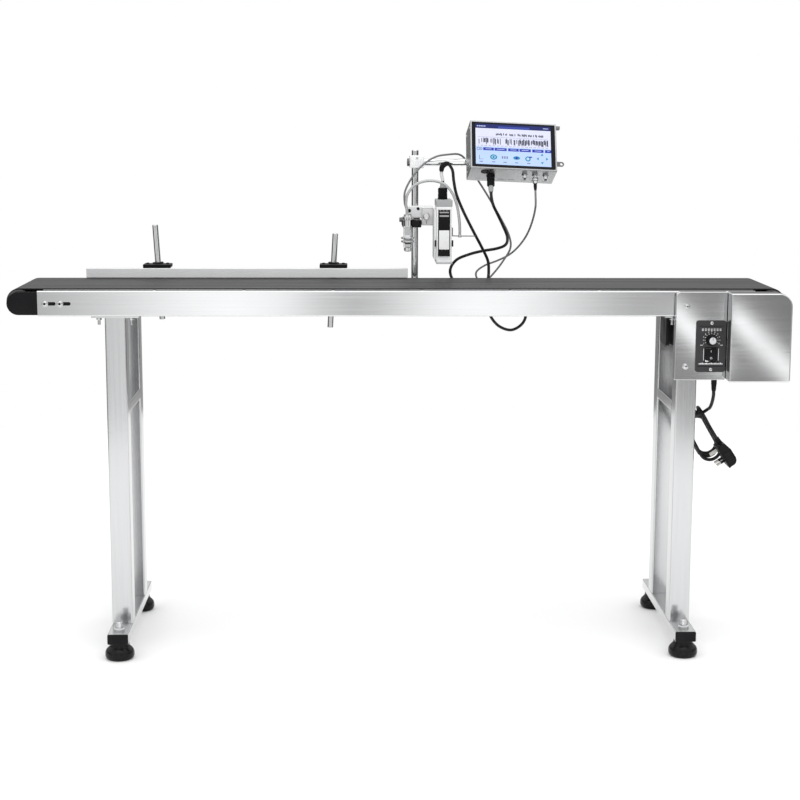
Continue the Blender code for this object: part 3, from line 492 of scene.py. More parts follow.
FLAT = 0.000001
STEEL_X = brushed_look("steel_brushed_x", "stainless", cool(0.66), 0.10, "X", vary=0.03)
STEEL_Y = brushed_look("steel_brushed_y", "stainless", cool(0.66), 0.16, "Y")
STEEL_Z = brushed_look("steel_brushed_z", "stainless", cool(0.57), 0.15, "Z", vary=0.04)
POLISHED = brushed_look("steel_bright", "polished_stainless", cool(0.70), 0.055, "X", vary=0.03, streaks=300)
CHROME = new_look("chrome", "chrome_steel", cool(0.72), 0.10, 1.0, vary=0.03, patches=20, depth=2 * FLAT)
SCREW_STEEL = new_look("screw_steel", "chrome_steel", cool(0.60), 0.20, 1.0, vary=0.05, patches=60)
GUIDE_METAL = new_look("guide_metal", "stainless", cool(0.80), 0.30, 0.35, vary=0.03, patches=14)
DARK_STEEL = new_look("dark_steel", "dark_steel", (0.17, 0.17, 0.175), 0.42, 1.0, vary=0.15, patches=30)
BLACK = black_look("black_moulding", "black_plastic", (0.009, 0.009, 0.010), 0.38, 0.25, 25, 900, 0.10)
BLACK_PAINT = black_look("black_coat", "black_plastic", (0.008, 0.008, 0.009), 0.26, 0.20, 25, 1400, 0.12)
PANEL_BLACK = new_look("panel_film", "black_plastic", (0.022, 0.022, 0.024), 0.34, vary=0.15, patches=40)
RUBBER = black_look("black_rubber", "black_rubber", (0.011, 0.011, 0.011), 0.48, 0.25, 20, 700, 0.25)
RUBBER_GLOSS = black_look("foot_rubber", "black_rubber", (0.006, 0.006, 0.006), 0.20, 0.25, 20, 500, 0.18)
JACKET = black_look("cable_jacket", "black_rubber", (0.010, 0.010, 0.010), 0.34, 0.20, 15, 500, 0.30)
BELT = belt_look()
MOTOR = black_look("motor_paint", "motor_paint", (0.010, 0.010, 0.011), 0.40, 0.20, 18, 1100, 0.20)
WHITE = new_look(
    "white_coat", "white_paint", cool(0.88), 0.33, vary=0.02, patches=14, grain=1300, depth=0.00003
)
WHITE_METAL = new_look("silver_coat", "white_paint", cool(0.66, 0.01), 0.34, 0.6, vary=0.04, patches=14)
GREY_CAP = new_look("grey_moulding", "white_paint", cool(0.36), 0.36, vary=0.06, patches=20)
CASE = brushed_look("case_metal", "case_aluminium", cool(0.41), 0.34, "X", vary=0.05, streaks=500.0)
GLASS_BLACK = new_look(
    "screen_border", "screen_glass", (0.006, 0.006, 0.008), 0.22, grain=2500, depth=FLAT, specular=0.12
)
LEAD_GREY = new_look("lead_grey", "grey_cord", (0.17, 0.172, 0.178), 0.34, vary=0.08, patches=20, grain=600)
SLEEVE_CLEAR = new_look("sleeve_clear", "clear_sleeve", cool(0.46), 0.16, 0.45, vary=0.06, patches=30)
PRINT_WHITE = new_look("print_white", "white_paint", (0.75, 0.75, 0.75), 0.45, vary=0.03)
LABEL = new_look("blank_label", "white_paint", (0.62, 0.63, 0.62), 0.42, vary=0.04, patches=60)
PLUG_PINS = new_look("plug_pins", "chrome_steel", (0.46, 0.45, 0.42), 0.24, 1.0, vary=0.06, patches=80)


# ---------------------------------------------------------- camera, light, set


def make_camera():
    """Stands in front of the machine a little above it, looking slightly down."""
    place, pitch, yaw, roll = Vector((-0.0817, -3.3383, 1.0368)), 0.1663, 0.0268, -0.003
    ahead = Vector((math.sin(yaw) * math.cos(pitch), math.cos(yaw) * math.cos(pitch), -math.sin(pitch)))
    level = Vector((math.cos(yaw), -math.sin(yaw), 0))
    under = ahead.cross(level)
    right = level * math.cos(roll) + under * math.sin(roll)
    down = under * math.cos(roll) - level * math.sin(roll)
    camera = bpy.data.objects.new("camera", bpy.data.cameras.new("camera"))
    camera.data.sensor_width = 36
    camera.data.lens = 76.57
    turn = Matrix((right, -down, -ahead)).transposed().to_4x4()
    camera.matrix_world = Matrix.Translation(place) @ turn
    SCENE.collection.objects.link(camera)
    SCENE.camera = camera


def make_light(name, place, target, size, power, spread=180):
    light = bpy.data.lights.new(name, "AREA")
    light.shape = "RECTANGLE"
    light.size, light.size_y = size
    light.energy = power
    light.spread = math.radians(spread)
    item = bpy.data.objects.new(name, light)
    toward = (Vector(target) - Vector(place)).to_track_quat("-Z", "Y").to_matrix().to_4x4()
    item.matrix_world = Matrix.Translation(place) @ toward
    SCENE.collection.objects.link(item)
    return item


class Studio:
    """Builds the world's light from small arithmetic steps on the direction a ray takes."""

    def __init__(self, world):
        world.use_nodes = True
        self.nodes, self.links = world.node_tree.nodes, world.node_tree.links

    def sum(self, operation, *values):
        node = self.nodes.new("ShaderNodeMath")
        node.operation = operation
        for socket, value in zip(node.inputs, values):
            if isinstance(value, (int, float)):
                socket.default_value = value
            else:
                self.links.new(value, socket)
        return node.outputs[0]

    def ramp(self, value, stops):
        """A brightness that follows (value, brightness) stops, smoothly."""
        low, high = stops[0][0], stops[-1][0]
        node = self.nodes.new("ShaderNodeValToRGB")
        node.color_ramp.interpolation = "EASE"
        points = node.color_ramp.elements
        points.remove(points[-1])
        points[0].color = (stops[0][1] / 4,) * 3 + (1,)
        for at, level in stops[1:]:
            points.new((at - low) / (high - low)).color = (level / 4,) * 3 + (1,)
        self.links.new(self.sum("DIVIDE", self.sum("SUBTRACT", value, low), high - low), node.inputs["Fac"])
        return self.sum("MULTIPLY", node.outputs["Color"], 4.0)


# How bright the room is to the left and right of straight ahead (tangent of the angle, level)
ROOM_BANDS = [
    (-6.0, 0.10), (-2.4, 0.18), (-1.4, 1.05), (-0.8, 1.00), (-0.5, 0.30), (-0.26, 0.45), (-0.18, 0.62),
    (-0.128, 1.05), (-0.066, 1.80), (-0.003, 0.42), (0.072, 1.80), (0.108, 1.40), (0.146, 0.84),
    (0.182, 0.34), (0.30, 0.24), (0.5, 0.35), (0.8, 1.00), (1.4, 1.05), (2.4, 0.18), (6.0, 0.10),
]
# How much of that the room's rear half has
REAR_SHARE = 0.4
# Slanting soft strips to the right: (from, to, line's height at the middle, middle), in tangents
ROOM_STRIPS = [(0.184, 0.2222, -0.1230, 0.197), (0.2224, 0.275, -0.1335, 0.2417)]
STRIP_SLOPE = -1.0
STRIP_WIDTH = 0.007
STRIP_LEVEL = 1.6


def make_world():
    """White to the camera; to everything else a room with light bands, strips and a bright ceiling."""
    world = bpy.data.worlds.new("room")
    SCENE.world = world
    studio = Studio(world)
    where = studio.nodes.new("ShaderNodeTexCoord")
    split = studio.nodes.new("ShaderNodeSeparateXYZ")
    studio.links.new(where.outputs["Generated"], split.inputs[0])
    x, y, z = split.outputs
    depth = studio.sum("MAXIMUM", studio.sum("ABSOLUTE", y), 0.05)
    across = studio.sum("DIVIDE", x, depth)
    rise = studio.sum("DIVIDE", z, depth)
    front = studio.sum("LESS_THAN", y, 0.0)
    bands = studio.ramp(across, ROOM_BANDS)
    level = studio.sum("MULTIPLY", bands, studio.sum("MULTIPLY_ADD", front, 1 - REAR_SHARE, REAR_SHARE))
    for start, end, height, middle in ROOM_STRIPS:
        line = studio.sum("MULTIPLY_ADD", studio.sum("SUBTRACT", across, middle), STRIP_SLOPE, height)
        off = studio.sum("SUBTRACT", rise, line)
        glow = studio.ramp(off, [(-2 * STRIP_WIDTH, 0), (0, STRIP_LEVEL), (2 * STRIP_WIDTH, 0)])
        inside = studio.sum(
            "MULTIPLY", studio.sum("GREATER_THAN", across, start), studio.sum("LESS_THAN", across, end)
        )
        level = studio.sum("ADD", level, studio.sum("MULTIPLY", glow, studio.sum("MULTIPLY", inside, front)))
    ceiling = studio.ramp(z, [(-0.02, 0.0), (0.10, 0.15), (0.45, 1.0)])
    lit = studio.sum("ADD", level, studio.sum("MULTIPLY", ceiling, studio.sum("SUBTRACT", 1.15, level)))
    path = studio.nodes.new("ShaderNodeLightPath")
    seen = path.outputs["Is Camera Ray"]
    shown = studio.sum("ADD", lit, studio.sum("MULTIPLY", seen, studio.sum("SUBTRACT", 1.0, lit)))
    background = studio.nodes["Background"]
    background.inputs["Color"].default_value = (1, 1, 1, 1)
    studio.links.new(shown, background.inputs["Strength"])


def make_set():
    """A pale round floor in a white room, with a soft box overhead and one over the floor in front."""
    SCENE.view_settings.view_transform = "Standard"
    floor = Shape().lathe([(2.6, -0.012), (2.6, -0.0005)], steps=96).object("floor")
    paint = bpy.data.materials.new("floor_paint")
    paint.use_nodes = True
    shader = shader_of(paint)
    shader.inputs["Base Color"].default_value = (0.95, 0.95, 0.95, 1)
    shader.inputs["Roughness"].default_value = 0.9
    shader.inputs["Specular IOR Level"].default_value = 0.1
    floor.data.materials.append(paint)
    make_world()
    make_light("overhead", (0.0, -0.4, 3.4), (0, 0, 0.6), (3.4, 2.2), 21)
    make_light("floor_light", (0.0, -1.9, 2.6), (0, -1.7, 0), (3.2, 1.6), 5, spread=90)
    fill = make_light("front_fill", (0.2, -3.0, 1.5), (0.1, 0, 0.8), (1.6, 1.0), 16)
    fill.visible_glossy = False


make_camera()
make_set()


# ------------------------------------------------------------- conveyor frame

SIDES = {"front": -1, "rear": 1}
SHEET = 0.002
TUBE_WALL, TUBE_BEND, FOOT_Y = 0.002, 0.0032, 0.165
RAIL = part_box("rail_front")
RAIL_OUTER = -RAIL[0].y
BEARING_Z = (RAIL[0].z + RAIL[1].z) / 2
BOLT_X = (-0.6663, -0.6381)
SLOT_REACH, SLOT_R = (-0.0033, 0.0202), 0.0033
ROLLER_X, ROLLER_Z, JOURNAL_R = 0.7172, 0.6846, 0.006
ROD_Y, ROD_R, ROD_LEAN, ROD_LEVEL = 0.117, 0.0058, math.radians(3.3), 0.731
# Each guide rod's X at ROD_LEVEL, and the way it leans
RODS = {"left": (-0.4795, -1), "right": (-0.1250, 1)}


def dress(look, *names):
    """Gives CAD nodes that are kept as they are their material."""
    for name in names:
        NODES[name].data.materials.clear()
        NODES[name].data.materials.append(look)


def screw_profile(radius, height, recess, outline):
    """A rounded head with a recess of the given outline."""
    dome = [(radius, 0), (radius, 0.35), (0.94 * radius, 0.62), (0.80 * radius, 0.86), (0.60 * radius, 1)]
    hollow = [(recess, 1, outline), (0.9 * recess, 0.35, outline), (0, 0.3)]
    return [(r, height * z, *rest) for r, z, *rest in dome + hollow]


def screw(shape, place, way, radius, height, recess, outline=hexagon):
    """Adds a screw head that stands out in a direction."""
    steps = 60 if outline is hexagon else 48
    shape.lathe(screw_profile(radius, height, recess, outline), place, way, steps=steps)


def raised(profile, rise):
    """A profile moved up its axis."""
    return [(r, z + rise, *rest) for r, z, *rest in profile]


def rod_place(name, z):
    """A point on a guide rod's axis."""
    level_x, lean = RODS[name]
    return Vector((level_x + lean * math.tan(ROD_LEAN) * (z - ROD_LEVEL), ROD_Y, z))


def make_rail(where):
    """A channel with rolled bends, open towards the belt, with its tension slots."""
    low, high = RAIL
    steps = 5
    outer = rounded(low.yz, high.yz, (0.0026, 0, 0, 0.0026), steps)
    inner = rounded((low.y + SHEET, low.z + SHEET), (high.y, high.z - SHEET), (0.0008, 0, 0, 0.0008), steps)
    split = steps + 2
    section = outer[split:] + outer[:split] + inner[:split][::-1] + inner[split:][::-1]
    side = SIDES[where]
    section = [(-side * y, z) for y, z in section]
    rail = Shape().prism(section, "X", low.x, high.x).object(f"rail_{where}_sheet")
    cutters = []
    for x in BOLT_X:
        start, end = x + SLOT_REACH[0] + SLOT_R, x + SLOT_REACH[1] - SLOT_R
        slot = capsule((start, BEARING_Z), (end, BEARING_Z), SLOT_R)
        faces = sorted((side * (RAIL_OUTER + 0.001), side * (RAIL_OUTER - 0.004)))
        cutters.append(Shape().prism(slot, "Y", *faces).object("slot"))
    if where == "rear":
        for name in RODS:
            for z in (low.z, high.z - SHEET):
                base = rod_place(name, z + SHEET / 2) - Vector((0, 0, 0.002))
                cutters.append(Shape().lathe([(0.0082, 0), (0.0082, 0.004)], base).object("hole"))
    cut(rail, *cutters)
    settle(rail, STEEL_X, "frame", f"rail_{where}")


def make_rail_screws():
    """Small countersunk screws along the front rail's top lip, holding the bed plate."""
    heads = Shape()
    for x in (-0.461, -0.292, -0.123, 0.046, 0.215, 0.384):
        screw(heads, (x, -0.1175, RAIL[1].z - 0.0001), UP, 0.0030, 0.0008, 0.0012, cross)
    heads.done("rail_screws", SCREW_STEEL, "frame")


def make_belt():
    """The belt's closed loop around both rollers."""
    low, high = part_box("conveyor_belt")
    outer_r = (high.z - low.z) / 2
    ends = ((-ROLLER_X, ROLLER_Z), (ROLLER_X, ROLLER_Z))
    outer = capsule(*ends, outer_r, steps=28)
    inner = capsule(*ends, outer_r - 0.002, steps=28)
    belt = Shape().prism(outer, "Y", low.y, high.y, bevel=0.0003, segments=1, holes=[inner])
    belt.done("belt_loop", BELT, "frame", "conveyor_belt")


def make_tail_brackets():
    """Rounded bearing blocks that slide in the rails' ends, with their tension bolts and painted shade at the
    bottom of each bolt's socket.
    """
    radius = BEARING_Z - RAIL[0].z - SHEET - GAP
    back = ROLLER_X - 0.105
    nose = arc((-ROLLER_X, BEARING_Z), radius, math.pi / 2, math.pi, 16)
    outline = [*nose, (-back, BEARING_Z - radius), (-back, BEARING_Z + radius)]
    bore = ring(JOURNAL_R + GAP, 32, (-ROLLER_X, ROLLER_Z))
    face = RAIL_OUTER - SHEET - GAP
    for where, side in SIDES.items():
        block = Shape()
        block.prism(outline, "Y", *sorted((side * 0.109, side * (face - 0.0012))), holes=[bore])
        block.prism(outline, "Y", *sorted((side * (face - 0.0014), side * face)), bevel=0.0006)
        block.done(f"tail_block_{where}", BLACK_PAINT, "tail_tensioner", f"tail_bracket_{where}")
        bolts, sockets = Shape(), Shape()
        for x in BOLT_X:
            base = (x, side * (RAIL_OUTER + GAP), BEARING_Z)
            out = (0, side, 0)
            bolts.lathe([(0.0029, -0.0032), (0.0029, 0.0)], base, out, steps=24)
            bolts.lathe([(0.0064, 0), (0.0064, 0.0009), (0.0060, 0.0011), (0.0030, 0.0011)], base, out)
            bolts.lathe(raised(screw_profile(0.0053, 0.0034, 0.0024, hexagon), 0.0010), base, out, steps=60)
            # A dark hexagon at each socket's bottom is painted shade, where the recess would fall dark.
            sockets.lathe([(0.00205, 0.0022, hexagon), (0.00205, 0.0026, hexagon)], base, out, steps=60)
        bolts.done(f"tension_bolts_{where}", SCREW_STEEL, "tail_tensioner")
        sockets.done(f"tension_socket_shade_{where}", BLACK, "tail_tensioner")


def shrunk(low, high, inset, radius):
    """A rounded rectangle set in from another's edges."""
    return rounded([c + inset for c in low], [c - inset for c in high], radius)


def make_posts(side):
    """A leg's two posts, of rounded square tube."""
    for where in SIDES:
        name = f"leg_post_{side}_{where}"
        low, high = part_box(name)
        hollow = shrunk(low.xy, high.xy, TUBE_WALL, TUBE_BEND - TUBE_WALL)
        post = Shape().prism(rounded(low.xy, high.xy, TUBE_BEND), "Z", low.z, high.z, holes=[hollow])
        post.done(name + "_tube", STEEL_Z, "frame", name)


def make_bar(kind, side):
    """A leg's cross bar, or its base bar with a hole for each foot."""
    name = f"leg_{kind}_{side}"
    low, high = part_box(name)
    hollow = shrunk(low.xz, high.xz, TUBE_WALL, 0.0008)
    bar = Shape().prism(rounded(low.xz, high.xz, 0.0022), "Y", low.y, high.y, holes=[hollow])
    bar = bar.object(name + "_tube")
    if kind == "base":
        middle = (low.x + high.x) / 2
        bases = [(middle, foot * FOOT_Y, low.z - 0.005) for foot in SIDES.values()]
        cut(bar, *(Shape().lathe([(0.0063, 0), (0.0063, 0.03)], base).object("hole") for base in bases))
    settle(bar, STEEL_Y, "frame", name)


def add_base_fittings(side, caps, nuts):
    """The plugs in a base bar's ends, and the washers and nuts on top of it that hold the feet."""
    low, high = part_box(f"leg_base_{side}")
    hole = 0.0066
    washer = [(hole, 0), (0.0105, 0), (0.0105, 0.0012), (hole, 0.0012)]
    nut = [(hole, 0.0014), (0.0094, 0.0014, hexagon), (0.0098, 0.0022, hexagon)]
    nut += [(0.0098, 0.0060, hexagon), (0.0092, 0.0070, hexagon), (hole, 0.0070)]
    for foot in SIDES.values():
        end = foot * high.y
        cap = sorted((end + foot * GAP, end + foot * 0.0026))
        caps.prism(shrunk(low.xz, high.xz, GAP, 0.0022), "Y", *cap, bevel=0.0008)
        plug = sorted((end - foot * 0.012, end + foot * 0.0008))
        caps.prism(shrunk(low.xz, high.xz, TUBE_WALL + GAP, 0.0006), "Y", *plug)
        top = ((low.x + high.x) / 2, foot * FOOT_Y, high.z + GAP)
        nuts.lathe(washer, top, closed=True)
        nuts.lathe(nut, top, steps=60, closed=True)


def add_plate_bolts(side, bolts):
    """The four bolts that hang under a leg's top plate."""
    low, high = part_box(f"leg_top_plate_{side}")
    bolt = [(0.0046, 0, hexagon), (0.0050, 0.0006, hexagon), (0.0050, 0.0036, hexagon)]
    bolt += [(0.0046, 0.0042, hexagon), (0.0027, 0.0042), (0.0027, 0.0128), (0.0022, 0.0134)]
    for x_side in (-1, 1):
        for y_side in (-1, 1):
            place = ((low.x + high.x) / 2 + x_side * 0.0305, y_side * 0.1165, low.z - 0.0001)
            bolts.lathe(bolt, place, DOWN, steps=60)


def make_legs():
    """The posts, cross bars and base bars of both legs, with their plugs and fasteners."""
    caps, nuts = Shape(), Shape()
    for side in ("left", "right"):
        make_posts(side)
        for kind in ("crossbar", "base"):
            make_bar(kind, side)
        add_base_fittings(side, caps, nuts)
        add_plate_bolts(side, nuts)
    caps.done("base_end_caps", BLACK, "frame")
    nuts.done("leg_fasteners", SCREW_STEEL, "frame")


def make_feet():
    """Levelling feet: a flared rubber pad under a threaded stud."""
    pad = [(0.0184, 0.0333), (0.0184, 0.0288), (0.0190, 0.0262), (0.0206, 0.0236), (0.0232, 0.0210)]
    pad += [(0.0256, 0.0184), (0.0271, 0.0156), (0.0280, 0.0122), (0.0280, 0.0070), (0.0274, 0.0044)]
    pad += [(0.0262, 0.0018), (0.0244, 0.0002), (0.0200, 0.0), (0.0190, 0.0012), (0, 0.0012)]
    root, crest, pitch = 0.0055, 0.0060, 0.00125
    thread = [(0.0052, 0.0300)]
    for i in range(30):
        z = 0.0335 + i * pitch
        thread += [(root, z), (crest, z + 0.0006)]
    thread += [(0.0055, 0.0713), (0.0046, 0.0720)]
    for side in ("left", "right"):
        for where in SIDES:
            name = f"foot_{side}_{where}"
            low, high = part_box(name)
            base = ((low.x + high.x) / 2, (low.y + high.y) / 2, low.z)
            Shape().lathe(pad[::-1], base, steps=64).done(name + "_pad", RUBBER_GLOSS, name, name)
            Shape().lathe(thread, base, steps=24).done(name + "_stud", SCREW_STEEL, name)


for rail_side in SIDES:
    make_rail(rail_side)
make_rail_screws()
make_belt()
make_tail_brackets()
make_legs()
make_feet()
dress(STEEL_X, "bed_plate", "side_plate", "leg_top_plate_left", "leg_top_plate_right")
dress(DARK_STEEL, "tail_roller", "drive_roller", "roller_sprocket", "motor_sprocket", "drive_chain")
dress(DARK_STEEL, "stand_foot")
dress(BLACK, "drive_bearing_front", "drive_bearing_rear")
dress(MOTOR, "gearbox")


# --------------------------------------------------------------- drive housing

COVER_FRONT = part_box("control_cover")[0].y
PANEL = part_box("speed_controller")
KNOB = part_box("speed_knob")
KNOB_CENTRE = (KNOB[0] + KNOB[1]) / 2
SWITCH_CENTRE = Vector((0.5960, 0, 0.5870))
SWITCH_HALF = Vector((0.011, 0, 0.0134))
PLATE_LOW, PLATE_HIGH = (0.5665, 0.5535), (0.6240, 0.6528)
MOTOR_Z = 0.621
INK = 0.0001
# A figure's strokes, and each stroke's ends on a grid one wide and two tall
SEGMENTS = {
    0: "abcdef", 1: "bc", 2: "abged", 3: "abgcd", 4: "fgbc", 5: "afgcd", 6: "afgedc", 7: "abc", 8: "abcdefg",
    9: "abcdfg",
}
STROKES = {
    "a": ((0, 2), (1, 2)), "b": ((1, 1), (1, 2)), "c": ((1, 0), (1, 1)), "d": ((0, 0), (1, 0)),
    "e": ((0, 0), (0, 1)), "f": ((0, 1), (0, 2)), "g": ((0, 1), (1, 1)),
}


def make_cover(node, radii, roll, look, openings=()):
    """A deep sheet pan with rolled front edges, open at the back."""
    low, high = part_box(node)
    wall = 0.0015
    shell = Shape().prism(
        rounded((low.x, low.z), (high.x, high.z), radii, 8), "Y", low.y, high.y + roll, bevel=roll, segments=4
    )
    pan = shell.object(node + "_pan")
    inner = [max(r - wall, wall) for r in radii]
    hollow = rounded((low.x + wall, low.z + wall), (high.x - wall, high.z - wall), inner, 8)
    cutters = [Shape().prism(hollow, "Y", low.y + wall, high.y + 0.02).object("hollow")]
    back = Shape().box((low.x - 0.01, high.y, low.z - 0.01), (high.x + 0.01, high.y + 0.03, high.z + 0.01), 0)
    cutters.append(back.object("back"))
    for first, last in openings:
        cutters.append(Shape().box(first, last, 0).object("opening"))
    cut(pan, *cutters)
    settle(pan, look, "frame", node)


def make_digit(shape, number, centre, face, tall, line):
    """A small printed figure in seven strokes, or two of them for ten."""
    figures = [int(f) for f in str(number)]
    for i, figure in enumerate(figures):
        left = centre[0] + (i - len(figures) / 2) * tall * 0.75 + tall * 0.125
        for stroke in SEGMENTS[figure]:
            (x1, z1), (x2, z2) = STROKES[stroke]
            across = (left + min(x1, x2) * tall / 2 - line, left + max(x1, x2) * tall / 2 + line)
            z = [centre[1] + (end - 1) * tall / 2 for end in (min(z1, z2), max(z1, z2))]
            printed(shape, face, across, (z[0] - line, z[1] + line))


def printed(shape, face, across, up):
    """A thin printed mark on a face towards the operator."""
    shape.box((across[0], face - INK, up[0]), (across[1], face + INK, up[1]), 0)


def make_covers():
    """The two sheet covers, open for the speed module and the cord's gland, with their screws and painted
    shade in the screws' cross recesses.
    """
    low, high = PANEL
    module = (0.5769, COVER_FRONT - 0.002, 0.5569), (0.6168, COVER_FRONT + 0.004, 0.6498)
    gland = (0.6013, -0.1401, 0.536), (0.6097, -0.1317, 0.5405)
    openings = (module, gland)
    make_cover("control_cover", (0.0016, 0.0016, 0.0016, 0.009), 0.0011, POLISHED, openings)
    make_cover("drive_cover", (0.0030, 0.0040, 0.025, 0.0030), 0.0024, POLISHED)
    # The dark crosses at the bottoms of the screws' recesses are painted shade.
    heads, recess_shade = Shape(), Shape()
    for x, z in ((0.5483, 0.6790), (0.5488, 0.5645)):
        base = (x, COVER_FRONT - 0.0001, z)
        heads.lathe([(0.0062, 0), (0.0062, 0.0006), (0.0058, 0.0008), (0, 0.0008)], base, OUT)
        heads.lathe(raised(screw_profile(0.0045, 0.0026, 0.0021, cross), 0.0007), base, OUT)
        recess_shade.lathe([(0.0017, 0.0016, cross), (0.0017, 0.0019, cross)], base, OUT)
    for z in (low.z + 0.0056, high.z - 0.0051):
        base = (KNOB_CENTRE.x, low.y - 0.0001, z)
        screw(heads, base, OUT, 0.0034, 0.0017, 0.0015, cross)
        recess_shade.lathe([(0.0011, 0.0006, cross), (0.0011, 0.0008, cross)], base, OUT)
    heads.done("housing_screws", SCREW_STEEL, "frame")
    recess_shade.done("housing_screw_recess_shade", BLACK, "frame")


def make_speed_panel():
    """The moulded face plate with its module behind, bored for the knob, with a pocket for the switch."""
    low, high = PANEL
    back = COVER_FRONT - GAP
    plate = Shape().prism(rounded(PLATE_LOW, PLATE_HIGH, 0.005, 8), "Y", low.y, back, bevel=0.0007)
    plate.box((0.5772, back - 0.001, 0.5572), (0.6165, high.y, 0.6495), 0.001)
    item = plate.object("speed_panel")
    bore = Shape().lathe([(0.0033, -0.002), (0.0033, 0.013)], (KNOB_CENTRE.x, low.y, KNOB_CENTRE.z), BACK, 24)
    near = SWITCH_CENTRE - SWITCH_HALF + Vector((0, low.y - 0.002, 0))
    far = SWITCH_CENTRE + SWITCH_HALF + Vector((0, low.y + 0.0085, 0))
    cut(item, bore.object("bore"), Shape().box(near, far, 0).object("pocket"))
    settle(item, PANEL_BLACK, "frame", "speed_controller")


def make_panel_lines():
    """Two lines across the plate and the frame around the switch."""
    face, (left, _), (right, _) = PANEL[0].y, PLATE_LOW, PLATE_HIGH
    lines = Shape()
    printed(lines, face, (left + 0.005, right - 0.005), (0.6414, 0.6424))
    printed(lines, face, (left + 0.004, right - 0.004), (0.5642, 0.5652))
    surround, pocket = [
        rounded((SWITCH_CENTRE - half).xz, (SWITCH_CENTRE + half).xz, bend)
        for half, bend in ((Vector((0.0125, 0, 0.0148)), 0.0015), (SWITCH_HALF, 0.0003))
    ]
    lines.prism(surround, "Y", face - 0.0008, face - INK, holes=[pocket])
    lines.done("panel_lines", BLACK, "frame")


def make_panel_marks():
    """The plate's blank name bars, the speed dial, the switch's ticks and a row of small bars."""
    face, x, z = PANEL[0].y, KNOB_CENTRE.x, KNOB_CENTRE.z
    marks = Shape()
    for i in range(7):
        centre = 0.5790 + i * 0.0056
        for k in range(3):
            bottom = 0.6330 + k * 0.0017
            printed(marks, face, (centre - 0.0017, centre + 0.0017), (bottom, bottom + 0.0008))
    for i in range(11):
        angle = math.radians(205 - 23 * i)
        for reach in (0.0118, 0.0128):
            spot = (x + reach * math.cos(angle), face - INK, z + reach * math.sin(angle))
            marks.box([c - 0.00045 for c in spot], [c + 0.00045 for c in spot], 0)
        place = (x + 0.0160 * math.cos(angle), z + 0.0160 * math.sin(angle))
        make_digit(marks, i, place, face, 0.0020, 0.00032)
    for side in (-1, 1):
        across = SWITCH_CENTRE.x + side * 0.0142
        printed(marks, face, (across - 0.0004, across + 0.0004), (0.5762, 0.5988))
    for start in (0.5748, 0.6128):
        printed(marks, face, (start, start + 0.0052), (0.6052, 0.6061))
    for i in range(16):
        start = 0.5730 + i * 0.0029
        printed(marks, face, (start, start + 0.0021), (0.5686, 0.5706 + 0.0006 * (i % 3)))
    marks.done("panel_marks", PRINT_WHITE, "frame")


def make_knob_and_switch():
    """The ribbed speed knob with its cap and pointer, and the rocker with its two marks."""
    x, face, z = KNOB_CENTRE.x, PANEL[0].y, KNOB_CENTRE.z
    ribs = knurl(24, 0.06)
    skirt = [(0.0030, -0.0100), (0.0030, 0.0006), (0.0108, 0.0006), (0.0110, 0.0016), (0.0110, 0.0030)]
    skirt += [(0.0102, 0.0036, ribs), (0.0090, 0.0125, ribs), (0.0080, 0.0138), (0, 0.0138)]
    knob = Shape().lathe(skirt, (x, face, z), OUT, steps=96)
    knob.done("speed_knob_body", BLACK, "speed_knob", "speed_knob")
    cap = [(0.0066, 0.0136), (0.0066, 0.0142), (0.0060, 0.0146), (0, 0.0146)]
    cap = Shape().lathe(cap, (x, face, z), OUT)
    cap.done("speed_knob_cap", WHITE_METAL, "speed_knob")
    near, far = (x - 0.0004, face - 0.0149, z + 0.0010), (x + 0.0004, face - 0.0140, z + 0.0064)
    pointer = Shape().box(near, far, bevel=0.0001)
    pointer.done("speed_knob_pointer", BLACK, "speed_knob")
    outline = [(-0.0045, -0.0115), (-0.0026, 0.0), (-0.0045, 0.0115), (0.0015, 0.0100), (0.0030, 0)]
    outline.append((0.0015, -0.0100))
    place = Matrix.Translation(SWITCH_CENTRE + Vector((0, face + 0.0018, 0)))
    place = place @ Matrix.Rotation(math.radians(-8), 4, "X")
    rocker = Shape().prism(outline, "X", -0.0105, 0.0105, bevel=0.0006, place=place)
    rocker.done("rocker", BLACK_PAINT, "power_switch", "power_switch")
    marks = Shape(place)
    marks.box((-0.0004, -0.00415, 0.0045), (0.0004, -0.00365, 0.0080), 0)
    outer, hollow = [ring(radius, 24, (0, -0.0065)) for radius in (0.0020, 0.0014)]
    marks.prism(outer, "Y", -0.0041, -0.0036, holes=[hollow])
    marks.done("rocker_marks", PRINT_WHITE, "power_switch")


def make_motor():
    """A finned square motor under the bed, with an end bell and a blank plate."""
    low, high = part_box("drive_motor")
    motor = Shape()
    motor.prism(shrunk(low.yz, high.yz, 0.0028, 0.008), "X", low.x + 0.004, high.x, bevel=0.0004)
    full = rounded(low.yz, high.yz, 0.010)
    for i in range(9):
        start = low.x + 0.0135 + i * 0.0072
        motor.prism(full, "X", start, start + 0.0030, bevel=0.0007)
    motor.prism(rounded(low.yz, high.yz, 0.011), "X", low.x, low.x + 0.0085, bevel=0.0014)
    motor.prism(full, "X", high.x - 0.009, high.x, bevel=0.0008)
    boss = [(0.021, 0), (0.021, 0.0012), (0.019, 0.0022), (0, 0.0022)]
    motor.lathe(boss, (low.x + 0.002, 0, MOTOR_Z), LEFT)
    motor.done("motor_body", MOTOR, "frame", "drive_motor")
    corner = Vector((low.x + 0.050, low.y, MOTOR_Z))
    half = Vector((0.020, 0.0004, 0.015))
    Shape().box(corner - half, corner + half, 0.0002).done("motor_plate", LABEL, "frame")


make_covers()
make_speed_panel()
make_panel_lines()
make_panel_marks()
make_knob_and_switch()
make_motor()


# ------------------------------------------------------------ guide and stand

POST_X, STAND_Y, POST_R, ARM_R = 0.041, 0.150, 0.007, 0.0075
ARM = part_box("arm_tube")
ARM_Y, ARM_Z = 0.128, 0.9415


def rod_profile(radius, length, start, end):
    """A round bar's rings, with a chamfer at its start and its end."""
    return [(radius - start, 0), (radius, start), (radius, length - end), (radius - end, length)]


